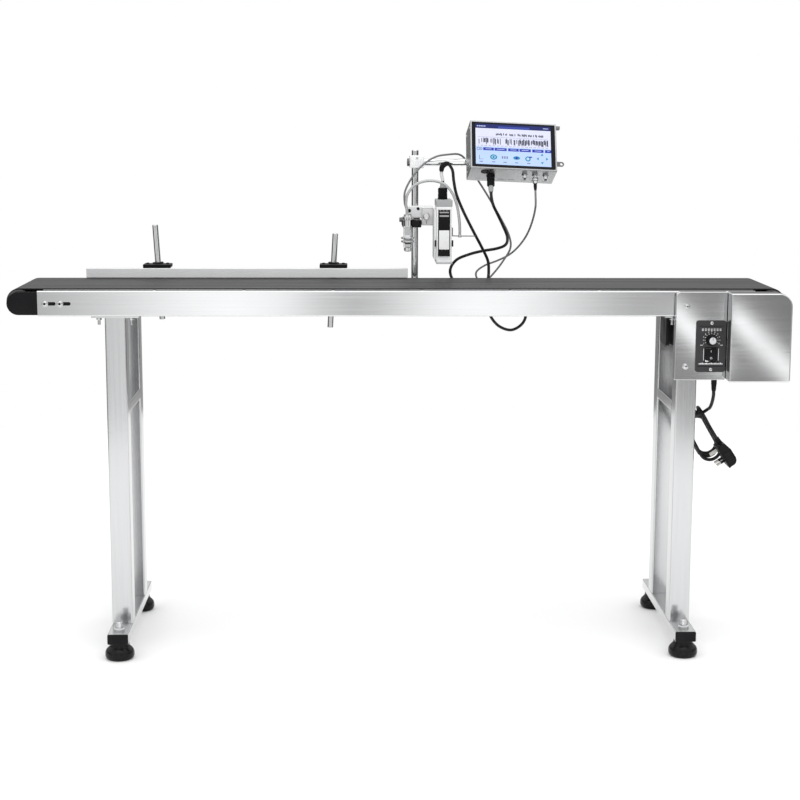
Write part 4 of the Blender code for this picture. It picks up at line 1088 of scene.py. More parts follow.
def bored(shape, name, *bores):
    """A body with round holes: (start, direction, radius, length) for each."""
    item = shape.object(name)
    drills = [Shape().lathe([(r, 0), (r, run)], start, way).object("drill") for start, way, r, run in bores]
    return cut(item, *drills)


def make_guide():
    """The guide bar, its two leaning rods and the rods' clamps with a collar and two screws each."""
    Shape().box(*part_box("guide_bar"), 0.0014, 3).done("guide_bar_body", GUIDE_METAL, "guide", "guide_bar")
    wide = ROD_R + GAP
    for name in RODS:
        node = f"guide_rod_{name}"
        bottom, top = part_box(node)
        start = rod_place(name, bottom.z + GAP)
        run = rod_place(name, top.z - GAP) - start
        rod = Shape().lathe(rod_profile(ROD_R, run.length, 0.0009, 0.0009), start, run, steps=40)
        rod.done(node + "_bar", CHROME, "guide", node)
        node = f"guide_clamp_{name}"
        low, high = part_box(node)
        under = rod_place(name, ROD_LEVEL - 0.02)
        along = rod_place(name, ROD_LEVEL + 0.02) - under
        clamp = bored(Shape().box(low, high, 0.0016, 3), node + "_body", (under, along, wide, 0.04))
        settle(clamp, BLACK, "guide", node)
        collar = Shape()
        base = rod_place(name, high.z - 0.0002)
        profile = [(wide, 0), (0.0112, 0), (0.0112, 0.0022), (0.0102, 0.0030), (wide, 0.0030)]
        collar.lathe(profile, base, along, closed=True)
        for x in (low.x + 0.008, high.x - 0.008):
            screw(collar, (x, (low.y + high.y) / 2, high.z - 0.0001), UP, 0.0034, 0.0022, 0.0016)
        collar.done(node + "_collar", BLACK_PAINT, "guide")


def make_stand():
    """The post, the arm with its end cap, the block that joins them and the stand's screws."""
    low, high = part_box("stand_post")
    post = rod_profile(POST_R, high.z - low.z, 0.001, 0.0012)
    Shape().lathe(post, (POST_X, STAND_Y, low.z)).done("stand_post_bar", CHROME, "frame", "stand_post")
    start = Vector((ARM[0].x, ARM_Y, ARM_Z))
    arm = rod_profile(ARM_R, ARM[1].x - ARM[0].x, 0.0008, 0.001)
    Shape().lathe(arm, start, RIGHT).done("arm_bar", CHROME, "frame", "arm_tube")
    rim = [(0.0060, -0.0022), (0.0076, -0.0018), (0.0079, -0.0006), (0.0079, 0.0024), (0.0077, 0.0030)]
    Shape().lathe(rim, start - Vector((0.0004, 0, 0)), RIGHT).done("arm_end_cap", DARK_STEEL, "frame")
    low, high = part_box("arm_clamp")
    clamp = bored(
        Shape().box(low, high, 0.0022, 4), "arm_clamp_body",
        ((POST_X, STAND_Y, low.z - 0.01), UP, POST_R + GAP, 0.05),
        ((low.x - 0.01, ARM_Y, ARM_Z), RIGHT, ARM_R + GAP, 0.06),
    )
    settle(clamp, WHITE, "frame", "arm_clamp")
    screws = Shape()
    for x, z in ((0.0440, 0.9505), (0.0520, 0.9345)):
        screw(screws, (x, low.y, z), OUT, 0.0024, 0.0014, 0.0013)
    low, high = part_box("stand_foot")
    for z in (low.z + 0.010, high.z - 0.010):
        screw(screws, (POST_X, high.y, z), BACK, 0.0042, 0.0030, 0.0022)
    screws.done("stand_screws", SCREW_STEEL, "frame")


def make_sensor():
    """A threaded barrel with two ring nuts, held in a black clamp by a knurled screw."""
    x, y, radius = 0.0245, 0.080, 0.009
    barrel = [(0, 0.7662), (0.0066, 0.7662), (0.0076, 0.7670), (0.0078, 0.7735), (0.0086, 0.7742)]
    for i in range(42):
        z = 0.7748 + i * 0.0010
        barrel += [(radius, z), (radius - 0.0002, z + 0.0005)]
    barrel += [(radius, 0.8172), (radius, 0.8280), (radius, 0.8330)]
    barrel += [(0.0085, 0.8342), (0.0080, 0.8394), (0, 0.8394)]
    Shape().lathe(barrel, (x, y, 0), steps=56).done("sensor_body", CHROME, "frame", "sensor_barrel")
    nuts, inner, ribs = Shape(), radius + 0.0001, knurl(24, 0.04)
    for low in (0.7835, 0.7905):
        nut = [(inner, 0), (0.0126, 0), (0.0134, 0.0007, ribs), (0.0134, 0.0033, ribs), (0.0126, 0.0040)]
        nuts.lathe([*nut, (inner, 0.0040)], (x, y, low), steps=96, closed=True)
    collar = [(inner, 0.8284), (0.0112, 0.8284), (0.0116, 0.8290), (0.0116, 0.8345), (0.0108, 0.8352)]
    nuts.lathe([*collar, (inner, 0.8352)], (x, y, 0), steps=56, closed=True)
    nuts.done("sensor_nuts", SCREW_STEEL, "frame")
    lens = Shape().lathe([(0.0060, 0.7656), (0.0066, 0.7660), (0.0066, 0.7668)], (x, y, 0), steps=40)
    lens.done("sensor_lens", BLACK_PAINT, "frame")
    low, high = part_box("sensor_clamp")
    clamp = bored(
        Shape().box(low, high, 0.0020, 3), "sensor_clamp_body",
        ((POST_X, STAND_Y, low.z - 0.01), UP, POST_R + GAP, 0.04),
        ((x, y, low.z - 0.01), UP, radius + GAP, 0.04),
    )
    settle(clamp, BLACK, "frame", "sensor_clamp")
    ribs = knurl(20, 0.08)
    grip = [(0.0030, 0), (0.0030, 0.0030), (0.0068, 0.0032, ribs), (0.0072, 0.0038, ribs)]
    grip += [(0.0072, 0.0112, ribs), (0.0066, 0.0120, ribs), (0, 0.0120)]
    grip = Shape().lathe(grip, (0.0385, low.y, 0.8225), OUT, steps=80)
    grip.done("sensor_clamp_screw", BLACK_PAINT, "frame")
    ribs = knurl(16, 0.08)
    knob = [(0.0022, 0), (0.0022, 0.0035), (0.0046, 0.0036, ribs), (0.0046, 0.0085, ribs), (0, 0.0090)]
    knob = Shape().lathe(knob, (0.0164, 0.0880, 0.8285), LEFT, steps=64)
    knob.done("sensor_side_knob", DARK_STEEL, "frame")


make_guide()
make_stand()
make_sensor()


# ----------------------------------------------------------------- print head

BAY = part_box("ink_cartridge")
FACE_X = (0.081, 0.112)
FRONT_Y, BACK_Y = 0.062, 0.132
HEAD_TOP, CAP_Z = 0.869, 0.8555
CLAMP_FRONT, WIRE_Y = 0.1350, 0.0700
CONNECTOR = (0.0950, 0.100, 0)


def make_head_bracket():
    """The clamp on the post, a bent plate along the head, and a knob that sets the height."""
    body = Shape().box((0.0245, CLAMP_FRONT, 0.8290), (0.0770, 0.1650, 0.8530), 0.0018, 3)
    body.box((0.0540, 0.1180, 0.8150), (0.0772, 0.1400, 0.8510), 0.0012, 3)
    body.box((0.0770, 0.0660, 0.7500), (0.0807, 0.1380, 0.8500), 0.0008, 2)
    bracket = bored(body, "head_bracket_body", ((POST_X, STAND_Y, 0.80), UP, POST_R + GAP, 0.08))
    settle(bracket, WHITE, "head", "head_bracket")
    face, back = 0.1166, 0.1182
    left, right, bottom, top, line = 0.0541, 0.0770, 0.8160, 0.8500, 0.0005
    plate = rounded((left + 0.0004, bottom + line), (right - line, top - line), 0.0012)
    Shape().prism(plate, "Y", face, back, bevel=0.0004).done("bracket_plate", PRINT_WHITE, "head")
    edge = Shape()
    sides = ((left, bottom, right, bottom + 0.0006), (right - line, bottom, right, top))
    sides += ((left, top - line, right, top), (left, bottom, left + line, top))
    for x1, z1, x2, z2 in sides:
        edge.box((x1, face - 0.0002, z1), (x2, back, z2), 0)
    edge.prism(rounded((0.0624, 0.8185), (0.0646, 0.8255), 0.0009), "Y", face - 0.0003, face + 0.0001)
    edge.done("bracket_plate_edges", GREY_CAP, "head")
    ribs = knurl(28, 0.05)
    knob = [(0.0068, 0), (0.0070, 0.0010, ribs), (0.0070, 0.0062, ribs)]
    knob += [(0.0062, 0.0072), (0.0050, 0.0074), (0.0046, 0.0070), (0, 0.0070)]
    Shape().lathe(knob, (0.0628, face, 0.8348), OUT, steps=112).done("bracket_knob", SCREW_STEEL, "head")
    button = [(0.0036, 0), (0.0036, 0.0010), (0.0030, 0.0015), (0, 0.0015)]
    screws = Shape().lathe(button, (0.0290, CLAMP_FRONT, 0.8440), OUT)
    screw(screws, (0.0470, CLAMP_FRONT, 0.8480), OUT, 0.0030, 0.0024, 0.0013)
    screws.done("bracket_screws", BLACK_PAINT, "head")


def make_print_head():
    """The head's case with its bay, cap, lip, latches and slots, and the plug on its top."""
    left, right = FACE_X
    bay = [Vector(c) for c in BAY]
    body = Shape().box((left, FRONT_Y, 0.7458), (right, BACK_Y, CAP_Z + 0.0005), 0.0012, 3)
    body = body.object("print_head_body")
    hollow = Shape().box(bay[0] - Vector((GAP, 0.01, GAP)), bay[1] + Vector((GAP, GAP, GAP)), 0).object("bay")
    cut(body, hollow)
    settle(body, WHITE, "head", "print_head")
    cap = Shape()
    cap.box((left - 0.0006, FRONT_Y - 0.0006, CAP_Z), (right + 0.0010, BACK_Y + 0.0006, HEAD_TOP), 0.0016, 3)
    cap.done("head_cap", GREY_CAP, "head")
    lip = Shape().box((left + GAP, 0.0600, 0.7418), (right + 0.0014, 0.1340, 0.7466), 0.0007)
    lip.done("head_lip", WHITE_METAL, "head")
    trim = Shape()
    for x in (bay[0].x - 0.0009, bay[1].x + 0.0003):
        trim.box((x, FRONT_Y - 0.0004, bay[0].z - 0.001), (x + 0.0006, FRONT_Y + 0.0006, bay[1].z + 0.001), 0)
    for x in (left - 0.0030, right + 0.0001):
        trim.box((x, 0.0590, 0.7765), (x + 0.0029, 0.0655, 0.7893), 0.0009)
    for i in range(5):
        z = 0.8050 - i * 0.0105
        trim.box((right - 0.0002, 0.080, z), (right + 0.0003, 0.118, z + 0.0022), 0.0001)
    trim.done("head_trim", BLACK_PAINT, "head")
    ribs = knurl(18, 0.10)
    plug = [(0.0098, HEAD_TOP + 0.0002), (0.0098, 0.8718), (0.0094, 0.8722, ribs), (0.0094, 0.8800, ribs)]
    plug += [(0.0088, 0.8806), (0.0088, 0.8816), (0.0094, 0.8822, ribs), (0.0094, 0.8900, ribs)]
    plug.append((0.0082, 0.8916))
    Shape().lathe(plug, CONNECTOR, steps=108).done("head_plug", BLACK, "head")
    neck = [(0.0064, 0.8914), (0.0064, 0.8940), (0.0052, 0.8950), (0.0050, 0.8990), (0.0044, 0.9012)]
    Shape().lathe(neck, CONNECTOR, steps=40).done("head_plug_neck", GREY_CAP, "head")
    bar = [(right - 0.002, 0.8130), (right + 0.0012, 0.8128), (right + 0.0016, 0.8118)]
    bar += [(right + 0.0016, 0.7990), (right + 0.0024, 0.7974), (0.1600, 0.7970)]
    wire = smooth_route([(x, WIRE_Y, z) for x, z in bar], 0.0006)
    Shape().sweep(wire, 0.0010, sides=12).done("head_wire", DARK_STEEL, "head")
    collar = [(0.0030, -0.0016), (0.0034, -0.0012), (0.0034, 0.0024), (0.0030, 0.0030)]
    Shape().lathe(collar, (0.1283, WIRE_Y, 0.7960), steps=32).done("sleeve_collar", SCREW_STEEL, "head")


def make_cartridge():
    """The ink cartridge: black, with a pale blank label and a grip of ribs above it."""
    low, high = BAY
    left, right, face = low.x + 0.0016, high.x - 0.0016, low.y
    body = Shape().box(low, high, 0.0012, 3)
    body.box((low.x + 0.002, face - 0.0006, low.z + 0.0006), (high.x - 0.002, face + 0.002, 0.7695), 0.0005)
    body.done("cartridge_body", BLACK_PAINT, "cartridge", "ink_cartridge")
    outline = rounded((low.x + 0.0008, 0.7710), (high.x - 0.0008, 0.8090), 0.0008)
    label = Shape().prism(outline, "Y", face - 0.0004, face + 0.0003, bevel=0.0001)
    label.done("cartridge_label", WHITE, "cartridge")
    bars = Shape()
    for z, tall in ((0.8358, 0.0034), (0.8432, 0.0026)):
        bars.box((left, face - 0.0008, z), (right, face + 0.0004, z + tall), 0.0003)
    for i in range(3):
        start = left + 0.0002 + i * 0.0066
        bars.box((start, face - 0.0006, 0.8474), (start + 0.0022, face + 0.0004, 0.8486), 0.0002)
    bars.done("cartridge_grip", GREY_CAP, "cartridge")
    ribs = Shape()
    for i in range(6):
        z = 0.8118 + i * 0.0036
        ribs.box((left, face - 0.0007, z), (right, face + 0.0004, z + 0.0017), 0.0003)
    ribs.done("cartridge_ribs", BLACK, "cartridge")


make_head_bracket()
make_print_head()
make_cartridge()


# ----------------------------------------------------------------- controller

CASE_PLACE = Matrix.Translation((0.2304, 0.0850, 0.9629)) @ Euler(
    (math.radians(-26.64), math.radians(2.88), math.radians(5.22)), "YXZ"
).to_matrix().to_4x4()
CASE_HALF = Vector((0.08645, 0.030, 0.05155))
SCREEN_HALF = (0.08325, 0.04825)
LIT_X, LIT_Z = (-0.0760, 0.0747), (-0.0427, 0.0444)
GLASS_FRONT = -CASE_HALF.y
LAYER = 0.0001
LUG_Z = -0.0265
# The picture's layers: colour and strength of the light
PICTURE = {
    "title": ((0.010, 0.014, 0.075), 0.8),
    "glow": ((0.025, 0.04, 0.19), 0.8),
    "upper": ((0.40, 0.41, 0.50), 0.75),
    "lower": ((0.27, 0.35, 0.52), 0.80),
    "ink": ((0.008, 0.010, 0.030), 0.1),
    "navy": ((0.020, 0.028, 0.24), 0.6),
    "teal": ((0.010, 0.16, 0.25), 0.5),
    "faint": ((0.13, 0.135, 0.24), 0.4),
    "pale": ((0.36, 0.42, 0.62), 0.5),
}
ARROWS = {(0, 1): (0.880, 0.715), (-1, 0): (0.825, 0.810), (1, 0): (0.940, 0.810), (0, -1): (0.880, 0.905)}
BUTTONS = ((0.10, 0.24), (0.25, 0.41), (0.43, 0.57), (0.58, 0.73), (0.75, 0.90), (0.92, 1.0))
# Where the blank marks under each port start, and how wide they are
PORT_MARKS = (
    (-0.070, 0.010), (-0.024, 0.012), (-0.004, 0.013), (0.022, 0.010), (0.043, 0.010), (0.064, 0.010)
)


def spot(across, down):
    """A point of the picture from its shares of the width and the height."""
    return LIT_X[0] + across * (LIT_X[1] - LIT_X[0]), LIT_Z[1] - down * (LIT_Z[1] - LIT_Z[0])


def layer_face(level):
    """Where a layer of the picture starts; higher levels lie nearer to the operator."""
    return GLASS_FRONT - 0.0002 - LAYER * level


def lit_block(shape, across, down, level=0):
    """A flat patch of the picture, as shares of its width and height."""
    (left, top), (right, bottom) = spot(across[0], down[0]), spot(across[1], down[1])
    y = layer_face(level)
    shape.box((left, y, bottom), (right, y + LAYER, top), 0)


def lit_disc(shape, across, down, outer, inner=0.0, squash=1.0):
    """A disc or ring of the picture."""
    x, z = spot(across, down)
    y = layer_face(1)
    edge, *holes = [
        [(u, z + (v - z) * squash) for u, v in ring(radius, 32, (x, z))]
        for radius in (outer, inner) if radius
    ]
    shape.prism(edge, "Y", y, y + LAYER, holes=holes)


def arrow(shape, across, down, way, size=0.0030):
    """A small arrow head of the picture pointing one of four ways."""
    y = layer_face(2)
    along, side, centre = Vector(way), Vector((-way[1], way[0])), Vector(spot(across, down))
    foot = centre - along * size * 0.4
    tips = [centre + along * size, foot + side * size, foot - side * size]
    shape.prism([tuple(t) for t in tips], "Y", y, y + LAYER)


def make_case():
    """The case with its seat, the glass in it, the tilt clamp on the arm, and its screws, slots and marks."""
    place, half = CASE_PLACE, CASE_HALF
    low, high = [-c for c in SCREEN_HALF], SCREEN_HALF
    case = Shape(place).box(-half, half, 0.0016, 3).object("case_body")
    seat = Shape(place).prism(shrunk(low, high, -GAP, 0.002), "Y", -half.y - 0.01, -half.y + 0.0025)
    cut(case, seat.object("seat"))
    settle(case, CASE, "controller", "controller_case")
    glass = Shape(place).prism(rounded(low, high, 0.0018), "Y", -half.y, -half.y + 0.0022, bevel=0.0003)
    glass.done("screen_plate", GLASS_BLACK, "controller", "controller_screen")
    clamp = Shape(place).box((-0.020, half.y + GAP, -0.0145), (0.020, 0.0625, 0.0135), 0.002, 3)
    tilt = bored(clamp, "tilt_clamp_body", ((0.15, ARM_Y, ARM_Z), RIGHT, ARM_R + GAP, 0.15))
    settle(tilt, BLACK, "controller", "tilt_clamp")
    screws = Shape(place)
    for x in (-0.078, 0.078):
        for z in (-0.0445, 0.0445):
            screw(screws, (x, half.y - 0.0001, z), BACK, 0.0026, 0.0014, 0.0012, cross)
    for y in (-0.018, 0.018):
        for z in (0.040, -0.040):
            screw(screws, (-half.x + 0.0001, y, z), LEFT, 0.0022, 0.0012, 0.0011, cross)
    screws.done("case_fittings", SCREW_STEEL, "controller")
    marks = Shape(place)
    lug = capsule((half.x - 0.002, LUG_Z), (half.x + 0.0130, LUG_Z), 0.0050)
    marks.prism(lug, "Y", -0.0120, -0.0095, bevel=0.0004, holes=[ring(0.0028, 24, (half.x + 0.0125, LUG_Z))])
    for i in range(9):
        x = -0.040 + i * 0.010
        marks.prism(capsule((x, -0.040), (x, -0.022), 0.0014, 8), "Y", half.y - 0.0002, half.y + 0.0002)
    for x, wide in PORT_MARKS:
        for k in range(5):
            start = x + k * wide / 5
            marks.box((start, 0.0165, -half.z - 0.0002), (start + wide / 9, 0.0185, -half.z + 0.0002), 0)
    marks.box((half.x - 0.0002, -0.0260, 0.0435), (half.x + 0.0085, -0.0180, 0.0495), 0.0006)
    marks.done("case_marks", DARK_STEEL, "controller")


def make_connectors():
    """Sockets and plugs along the case's underside."""
    place, under = CASE_PLACE, -CASE_HALF.z
    head_port, sensor_port = (-0.0417, 0.0023, under), (0.0458, -0.0070, under)
    black = Shape(place)
    socket = [(0.0082, -0.0002), (0.0082, 0.0008), (0.0074, 0.0012), (0.0074, 0.0004), (0, 0.0004)]
    black.lathe(socket, (-0.0558, -0.0150, under), DOWN)
    ribs = knurl(14, 0.10)
    plug = [(0.0086, 0.0002), (0.0086, 0.0030), (0.0078, 0.0034, ribs), (0.0078, 0.0120, ribs)]
    plug += [(0.0070, 0.0124), (0.0070, 0.0134), (0.0077, 0.0138, ribs), (0.0077, 0.0220, ribs)]
    plug.append((0.0062, 0.0234))
    black.lathe(plug, head_port, DOWN, steps=112)
    black.done("case_black_plugs", BLACK, "controller")
    relief = [(0.0050, 0.0228), (0.0048, 0.0270), (0.0052, 0.0274), (0.0048, 0.0300), (0.0050, 0.0304)]
    relief.append((0.0040, 0.0360))
    Shape(place).lathe(relief, head_port, DOWN, steps=40).done("case_plug_relief", GREY_CAP, "controller")
    metal, dark = Shape(place), Shape(place)
    for x, y in ((0.0251, -0.0072), sensor_port[:2], (0.0670, -0.0069)):
        barrel = [(0.0064, 0.0001, hexagon), (0.0066, 0.0016, hexagon), (0.0052, 0.0018), (0.0052, 0.0030)]
        for i in range(4):
            barrel += [(0.0048, 0.0034 + i * 0.0011), (0.0053, 0.0039 + i * 0.0011)]
        barrel += [(0.0050, 0.0082), (0.0040, 0.0084)]
        metal.lathe(barrel, (x, y, under), DOWN, steps=60)
        dark.lathe([(0.0034, 0.0080), (0.0034, 0.0087), (0.0030, 0.0090)], (x, y, under), DOWN, steps=32)
    ribs = knurl(20, 0.06)
    cable_plug = [(0.0058, 0.0060), (0.0062, 0.0066, ribs), (0.0062, 0.0130, ribs)]
    cable_plug += [(0.0050, 0.0136), (0.0044, 0.0180), (0.0040, 0.0184)]
    metal.lathe(cable_plug, sensor_port, DOWN, steps=80)
    metal.done("case_metal_sockets", SCREW_STEEL, "controller")
    boot = [(0.0032, 0.0180), (0.0034, 0.0230), (0.0028, 0.0300), (0.0024, 0.0320)]
    dark.lathe(boot, sensor_port, DOWN, steps=32)
    dark.done("case_socket_cores", BLACK, "controller")


def make_picture():
    """What the screen shows: a plain title bar, a printed pattern, buttons and icons, with no words."""
    layers = {name: Shape(CASE_PLACE) for name in PICTURE}
    title, glow, upper, lower, ink, navy, teal, faint, pale = layers.values()
    lit_block(title, (0, 1), (0, 0.105))
    lit_block(glow, (0.30, 0.72), (0.045, 0.098), 1)
    lit_block(upper, (0, 1), (0.105, 0.56))
    lit_block(lower, (0, 1), (0.56, 1))
    for i in range(5):
        lit_block(pale, (0.02 + i * 0.024, 0.036 + i * 0.024), (0.040, 0.066), 1)
    lit_block(pale, (0.90, 0.97), (0.045, 0.060), 1)
    draw_pattern(ink, faint)
    for start, end in BUTTONS:
        lit_block(navy, (start, end), (0.585, 0.655), 1)
        lit_block(pale, (start + 0.03, end - 0.03 if end < 1 else 0.98), (0.612, 0.624), 2)
    draw_icons(navy, teal, faint)
    for name, shape in layers.items():
        shape.done(f"picture_{name}", glow_look(f"picture_{name}", *PICTURE[name]), "controller")


def draw_pattern(ink, faint):
    """Random bars in two rows, with a ruler above and below the lower one."""
    draw = random.Random(7)
    for i in range(46):
        u = 0.27 + i * 0.0138
        if draw.random() < 0.45 + i * 0.011:
            top = 0.235 - draw.random() * 0.025
            lit_block(ink, (u, u + 0.010), (top, 0.262 + draw.random() * 0.022), 1)
    for i in range(26):
        u = 0.03 + i * 0.0366
        for k in range(3):
            if draw.random() < 0.62 + i * 0.012:
                top = 0.340 + draw.random() * 0.045
                start = u + k * 0.0104
                lit_block(ink, (start, start + 0.0086), (top, 0.450 + draw.random() * 0.060), 1)
    for i in range(52):
        u = 0.03 + i * 0.0180
        lit_block(faint, (u, u + 0.010), (0.318, 0.326), 1)
        if i % 3 != 1:
            lit_block(faint, (u, u + 0.012), (0.530, 0.542), 1)


def draw_icons(navy, teal, faint):
    """Plain round, square and arrow icons, each over a bar where its name would be."""
    lit_disc(faint, 0.035, 0.62, 0.0034, 0.0022)
    lit_disc(faint, 0.070, 0.62, 0.0026, 0.0014)
    lit_block(faint, (0.045, 0.052), (0.78, 0.88), 1)
    lit_block(faint, (0.045, 0.10), (0.87, 0.88), 1)
    lit_disc(teal, 0.235, 0.815, 0.0070, 0.0042, squash=0.8)
    lit_disc(teal, 0.235, 0.815, 0.0024)
    for start in (0.345, 0.375, 0.405):
        lit_block(faint, (start, start + 0.018), (0.785, 0.845), 1)
    lit_disc(teal, 0.540, 0.815, 0.0068, 0.0034, squash=0.55)
    lit_disc(navy, 0.540, 0.815, 0.0028)
    lit_disc(teal, 0.690, 0.825, 0.0054, 0.0032)
    lit_block(navy, (0.705, 0.745), (0.765, 0.795), 1)
    for u in (0.07, 0.235, 0.385, 0.540, 0.700):
        lit_block(faint, (u - 0.022, u + 0.022), (0.925, 0.945), 1)
    for way in ((0, 1), (-1, 0), (1, 0), (0, -1)):
        arrow(teal, *ARROWS[way], way)


make_case()
make_connectors()
make_picture()


# ---------------------------------------------------------------------- cords

HEAD_CABLE_UPPER = [
    (0.1910, 0.1325, 0.6905), (0.1910, 0.1328, 0.7040), (0.1922, 0.1345, 0.7200), (0.1900, 0.1345, 0.7430),
    (0.1760, 0.1280, 0.7720), (0.1600, 0.1200, 0.8010), (0.1380, 0.1080, 0.8430), (0.1230, 0.1000, 0.8780),
    (0.1170, 0.0970, 0.9050), (0.1140, 0.0955, 0.9270), (0.1045, 0.0950, 0.9395), (0.0940, 0.0965, 0.9340),
    (0.0922, 0.0985, 0.9190), (0.0948, 0.0999, 0.9080), (0.0950, 0.1000, 0.9005),
]
HEAD_CABLE_LOWER = [
    (0.1882, 0.0608, 0.9171), (0.1880, 0.0497, 0.8954), (0.1885, 0.0410, 0.8760), (0.1925, 0.0410, 0.8600),
    (0.2020, 0.0540, 0.8420), (0.2155, 0.0780, 0.8170), (0.2265, 0.1020, 0.7930), (0.2250, 0.1210, 0.7760),
    (0.2080, 0.1360, 0.7670), (0.1800, 0.1440, 0.7615), (0.1520, 0.1470, 0.7540), (0.1260, 0.1490, 0.7420),
    (0.1140, 0.1500, 0.7200), (0.1250, 0.1510, 0.6960), (0.1600, 0.1510, 0.6790), (0.2050, 0.1510, 0.6690),
    (0.2470, 0.1510, 0.6560), (0.2700, 0.1500, 0.6350), (0.2650, 0.1490, 0.6120), (0.2420, 0.1480, 0.5980),
    (0.2160, 0.1470, 0.6060), (0.1980, 0.1440, 0.6270), (0.1905, 0.1380, 0.6540), (0.1908, 0.1328, 0.6760),
    (0.1910, 0.1325, 0.6895),
]
SENSOR_LEAD = [
    (0.0225, 0.0835, 0.8400), (0.0222, 0.0835, 0.8480), (0.0180, 0.0838, 0.8640), (0.0195, 0.0860, 0.8870),
    (0.0355, 0.0955, 0.9156), (0.0570, 0.1070, 0.9385), (0.0820, 0.1150, 0.9532), (0.1080, 0.1185, 0.9576),
    (0.1290, 0.1275, 0.9574), (0.1440, 0.1420, 0.9460), (0.1560, 0.1500, 0.9260), (0.1700, 0.1510, 0.9040),
    (0.1900, 0.1520, 0.8730), (0.2180, 0.1540, 0.8260), (0.2350, 0.1560, 0.7920), (0.2380, 0.1570, 0.7660),
    (0.2230, 0.1580, 0.7390), (0.2060, 0.1600, 0.7160), (0.1900, 0.1630, 0.7000), (0.1740, 0.1670, 0.6990),
    (0.1690, 0.1700, 0.7150), (0.1860, 0.1710, 0.7290), (0.2130, 0.1670, 0.7400), (0.2370, 0.1540, 0.7540),
    (0.2540, 0.1290, 0.7740), (0.2660, 0.0960, 0.7990), (0.2730, 0.0640, 0.8280), (0.2765, 0.0440, 0.8560),
    (0.2762, 0.0420, 0.8780), (0.2759, 0.0485, 0.8980), (0.2761, 0.0586, 0.9177),
]
SLEEVE = [
    (0.0225, 0.0760, 0.8400), (0.0224, 0.0758, 0.8480), (0.0205, 0.0745, 0.8620), (0.0245, 0.0725, 0.8820),
    (0.0410, 0.0700, 0.9000), (0.0680, 0.0680, 0.9070), (0.0950, 0.0660, 0.9010), (0.1120, 0.0650, 0.8830),
    (0.1220, 0.0660, 0.8580), (0.1270, 0.0690, 0.8290), (0.1283, 0.0700, 0.8100), (0.1283, 0.0700, 0.7990),
]
POWER_CORD = [
    (0.6055, -0.1359, 0.5155), (0.6055, -0.1357, 0.5070), (0.6044, -0.1325, 0.4950),
    (0.6040, -0.1210, 0.4840), (0.6050, -0.1050, 0.4770), (0.6062, -0.0890, 0.4730),
    (0.6064, -0.0770, 0.4700), (0.6045, -0.0724, 0.4652), (0.6010, -0.0722, 0.4607),
]
HANK_PLACE = Matrix.Translation((0.6004, -0.0588, 0.4155)) @ Matrix.Rotation(math.radians(-30), 4, "Y")
PLUG_PLACE = Matrix.Translation((0.6400, -0.1000, 0.3890)) @ Matrix.Rotation(math.radians(-33), 4, "Y")
CORD_R = 0.00325
# The gap between the cord's points, and the least bends in cord radii
CORD_STEP = 0.0025
HANGING_BEND, HANK_BEND = 8.1, 6.05
LOOP_LEFT = -0.0200
# How far each turn of the hank reaches to the right, down and up
LOOPS = (
    (0.0207, 0.0320, 0.0310), (0.0194, 0.0258, 0.0250), (0.0212, 0.0194, 0.0300), (0.0193, 0.0310, 0.0190),
    (0.0208, 0.0250, 0.0310),
)
# Where the head cable's boot starts, its pale stretch starts and that ends, as shares of the length
BOOT_SHARES = (0.845, 0.925, 0.985)
LOOP_TOP = 0.0310
LOOP_PITCH = 0.0067
TURN_STOPS = 14
LOOP_FIRST = 0.0134
TAIL_FRONT = -0.0232
PIN_TIP = -0.0282


def make_cable(name, route, radius, look):
    """A cable swept along the smooth curve through a route, standing in for the CAD node of its name."""
    points = smooth_route(route, 0.003)
    cable = settle(Shape().sweep(points, radius).object(name + "_cable"), look, None, name)
    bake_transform(cable)


def hank_route():
    """From the end of the hanging run: five turns front to back, then a fold forward to the plug."""
    local = []
    for turn, (right, bottom, top) in enumerate(LOOPS):
        next_top = LOOPS[turn + 1][2] if turn + 1 < len(LOOPS) else LOOP_TOP
        middle, reach = (right + LOOP_LEFT) / 2, (right - LOOP_LEFT) / 2
        stops = [(a, top) for a in (75, 110, 145, 180)] + [(180, (top - bottom) / 2)]
        stops += [(a, -bottom) for a in (180, 215, 250, 290, 325, 360)] + [(360, 0.0), (360, next_top)]
        if turn + 1 < len(LOOPS):
            stops.append((395, next_top))
        for i, (angle, level) in enumerate(stops):
            if turn == 0 and angle < 80:
                continue
            y = -LOOP_FIRST + LOOP_PITCH * (turn + i / TURN_STOPS)
            slant = math.radians(angle)
            local.append((middle + reach * math.cos(slant), y, level + reach * math.sin(slant)))
    back_y = local[-1][1]
    centre_y, fold = (back_y + TAIL_FRONT) / 2, (back_y - TAIL_FRONT) / 2
    for angle in (30, 60, 90, 120, 150, 180):
        slant = math.radians(angle)
        local.append((0.0203, centre_y + fold * math.cos(slant), LOOP_TOP + fold * math.sin(slant)))
    local.append((0.0200, TAIL_FRONT - 0.0006, 0.0200))
    points = POWER_CORD + [tuple(HANK_PLACE @ Vector(p)) for p in local]
    return points + [tuple(PLUG_PLACE @ Vector((0, 0, z))) for z in (0.0420, 0.0290)]


def power_route():
    """The cord's whole path, eased to about 4 diameters at a bend where it hangs and 3 in the hank."""
    points = smooth_route(hank_route(), CORD_STEP)
    hanging = len(smooth_route(POWER_CORD, CORD_STEP)) - 6
    limits = [(HANGING_BEND if i < hanging else HANK_BEND) * CORD_R for i in range(len(points))]
    return smooth_route(eased(points, limits), CORD_STEP)


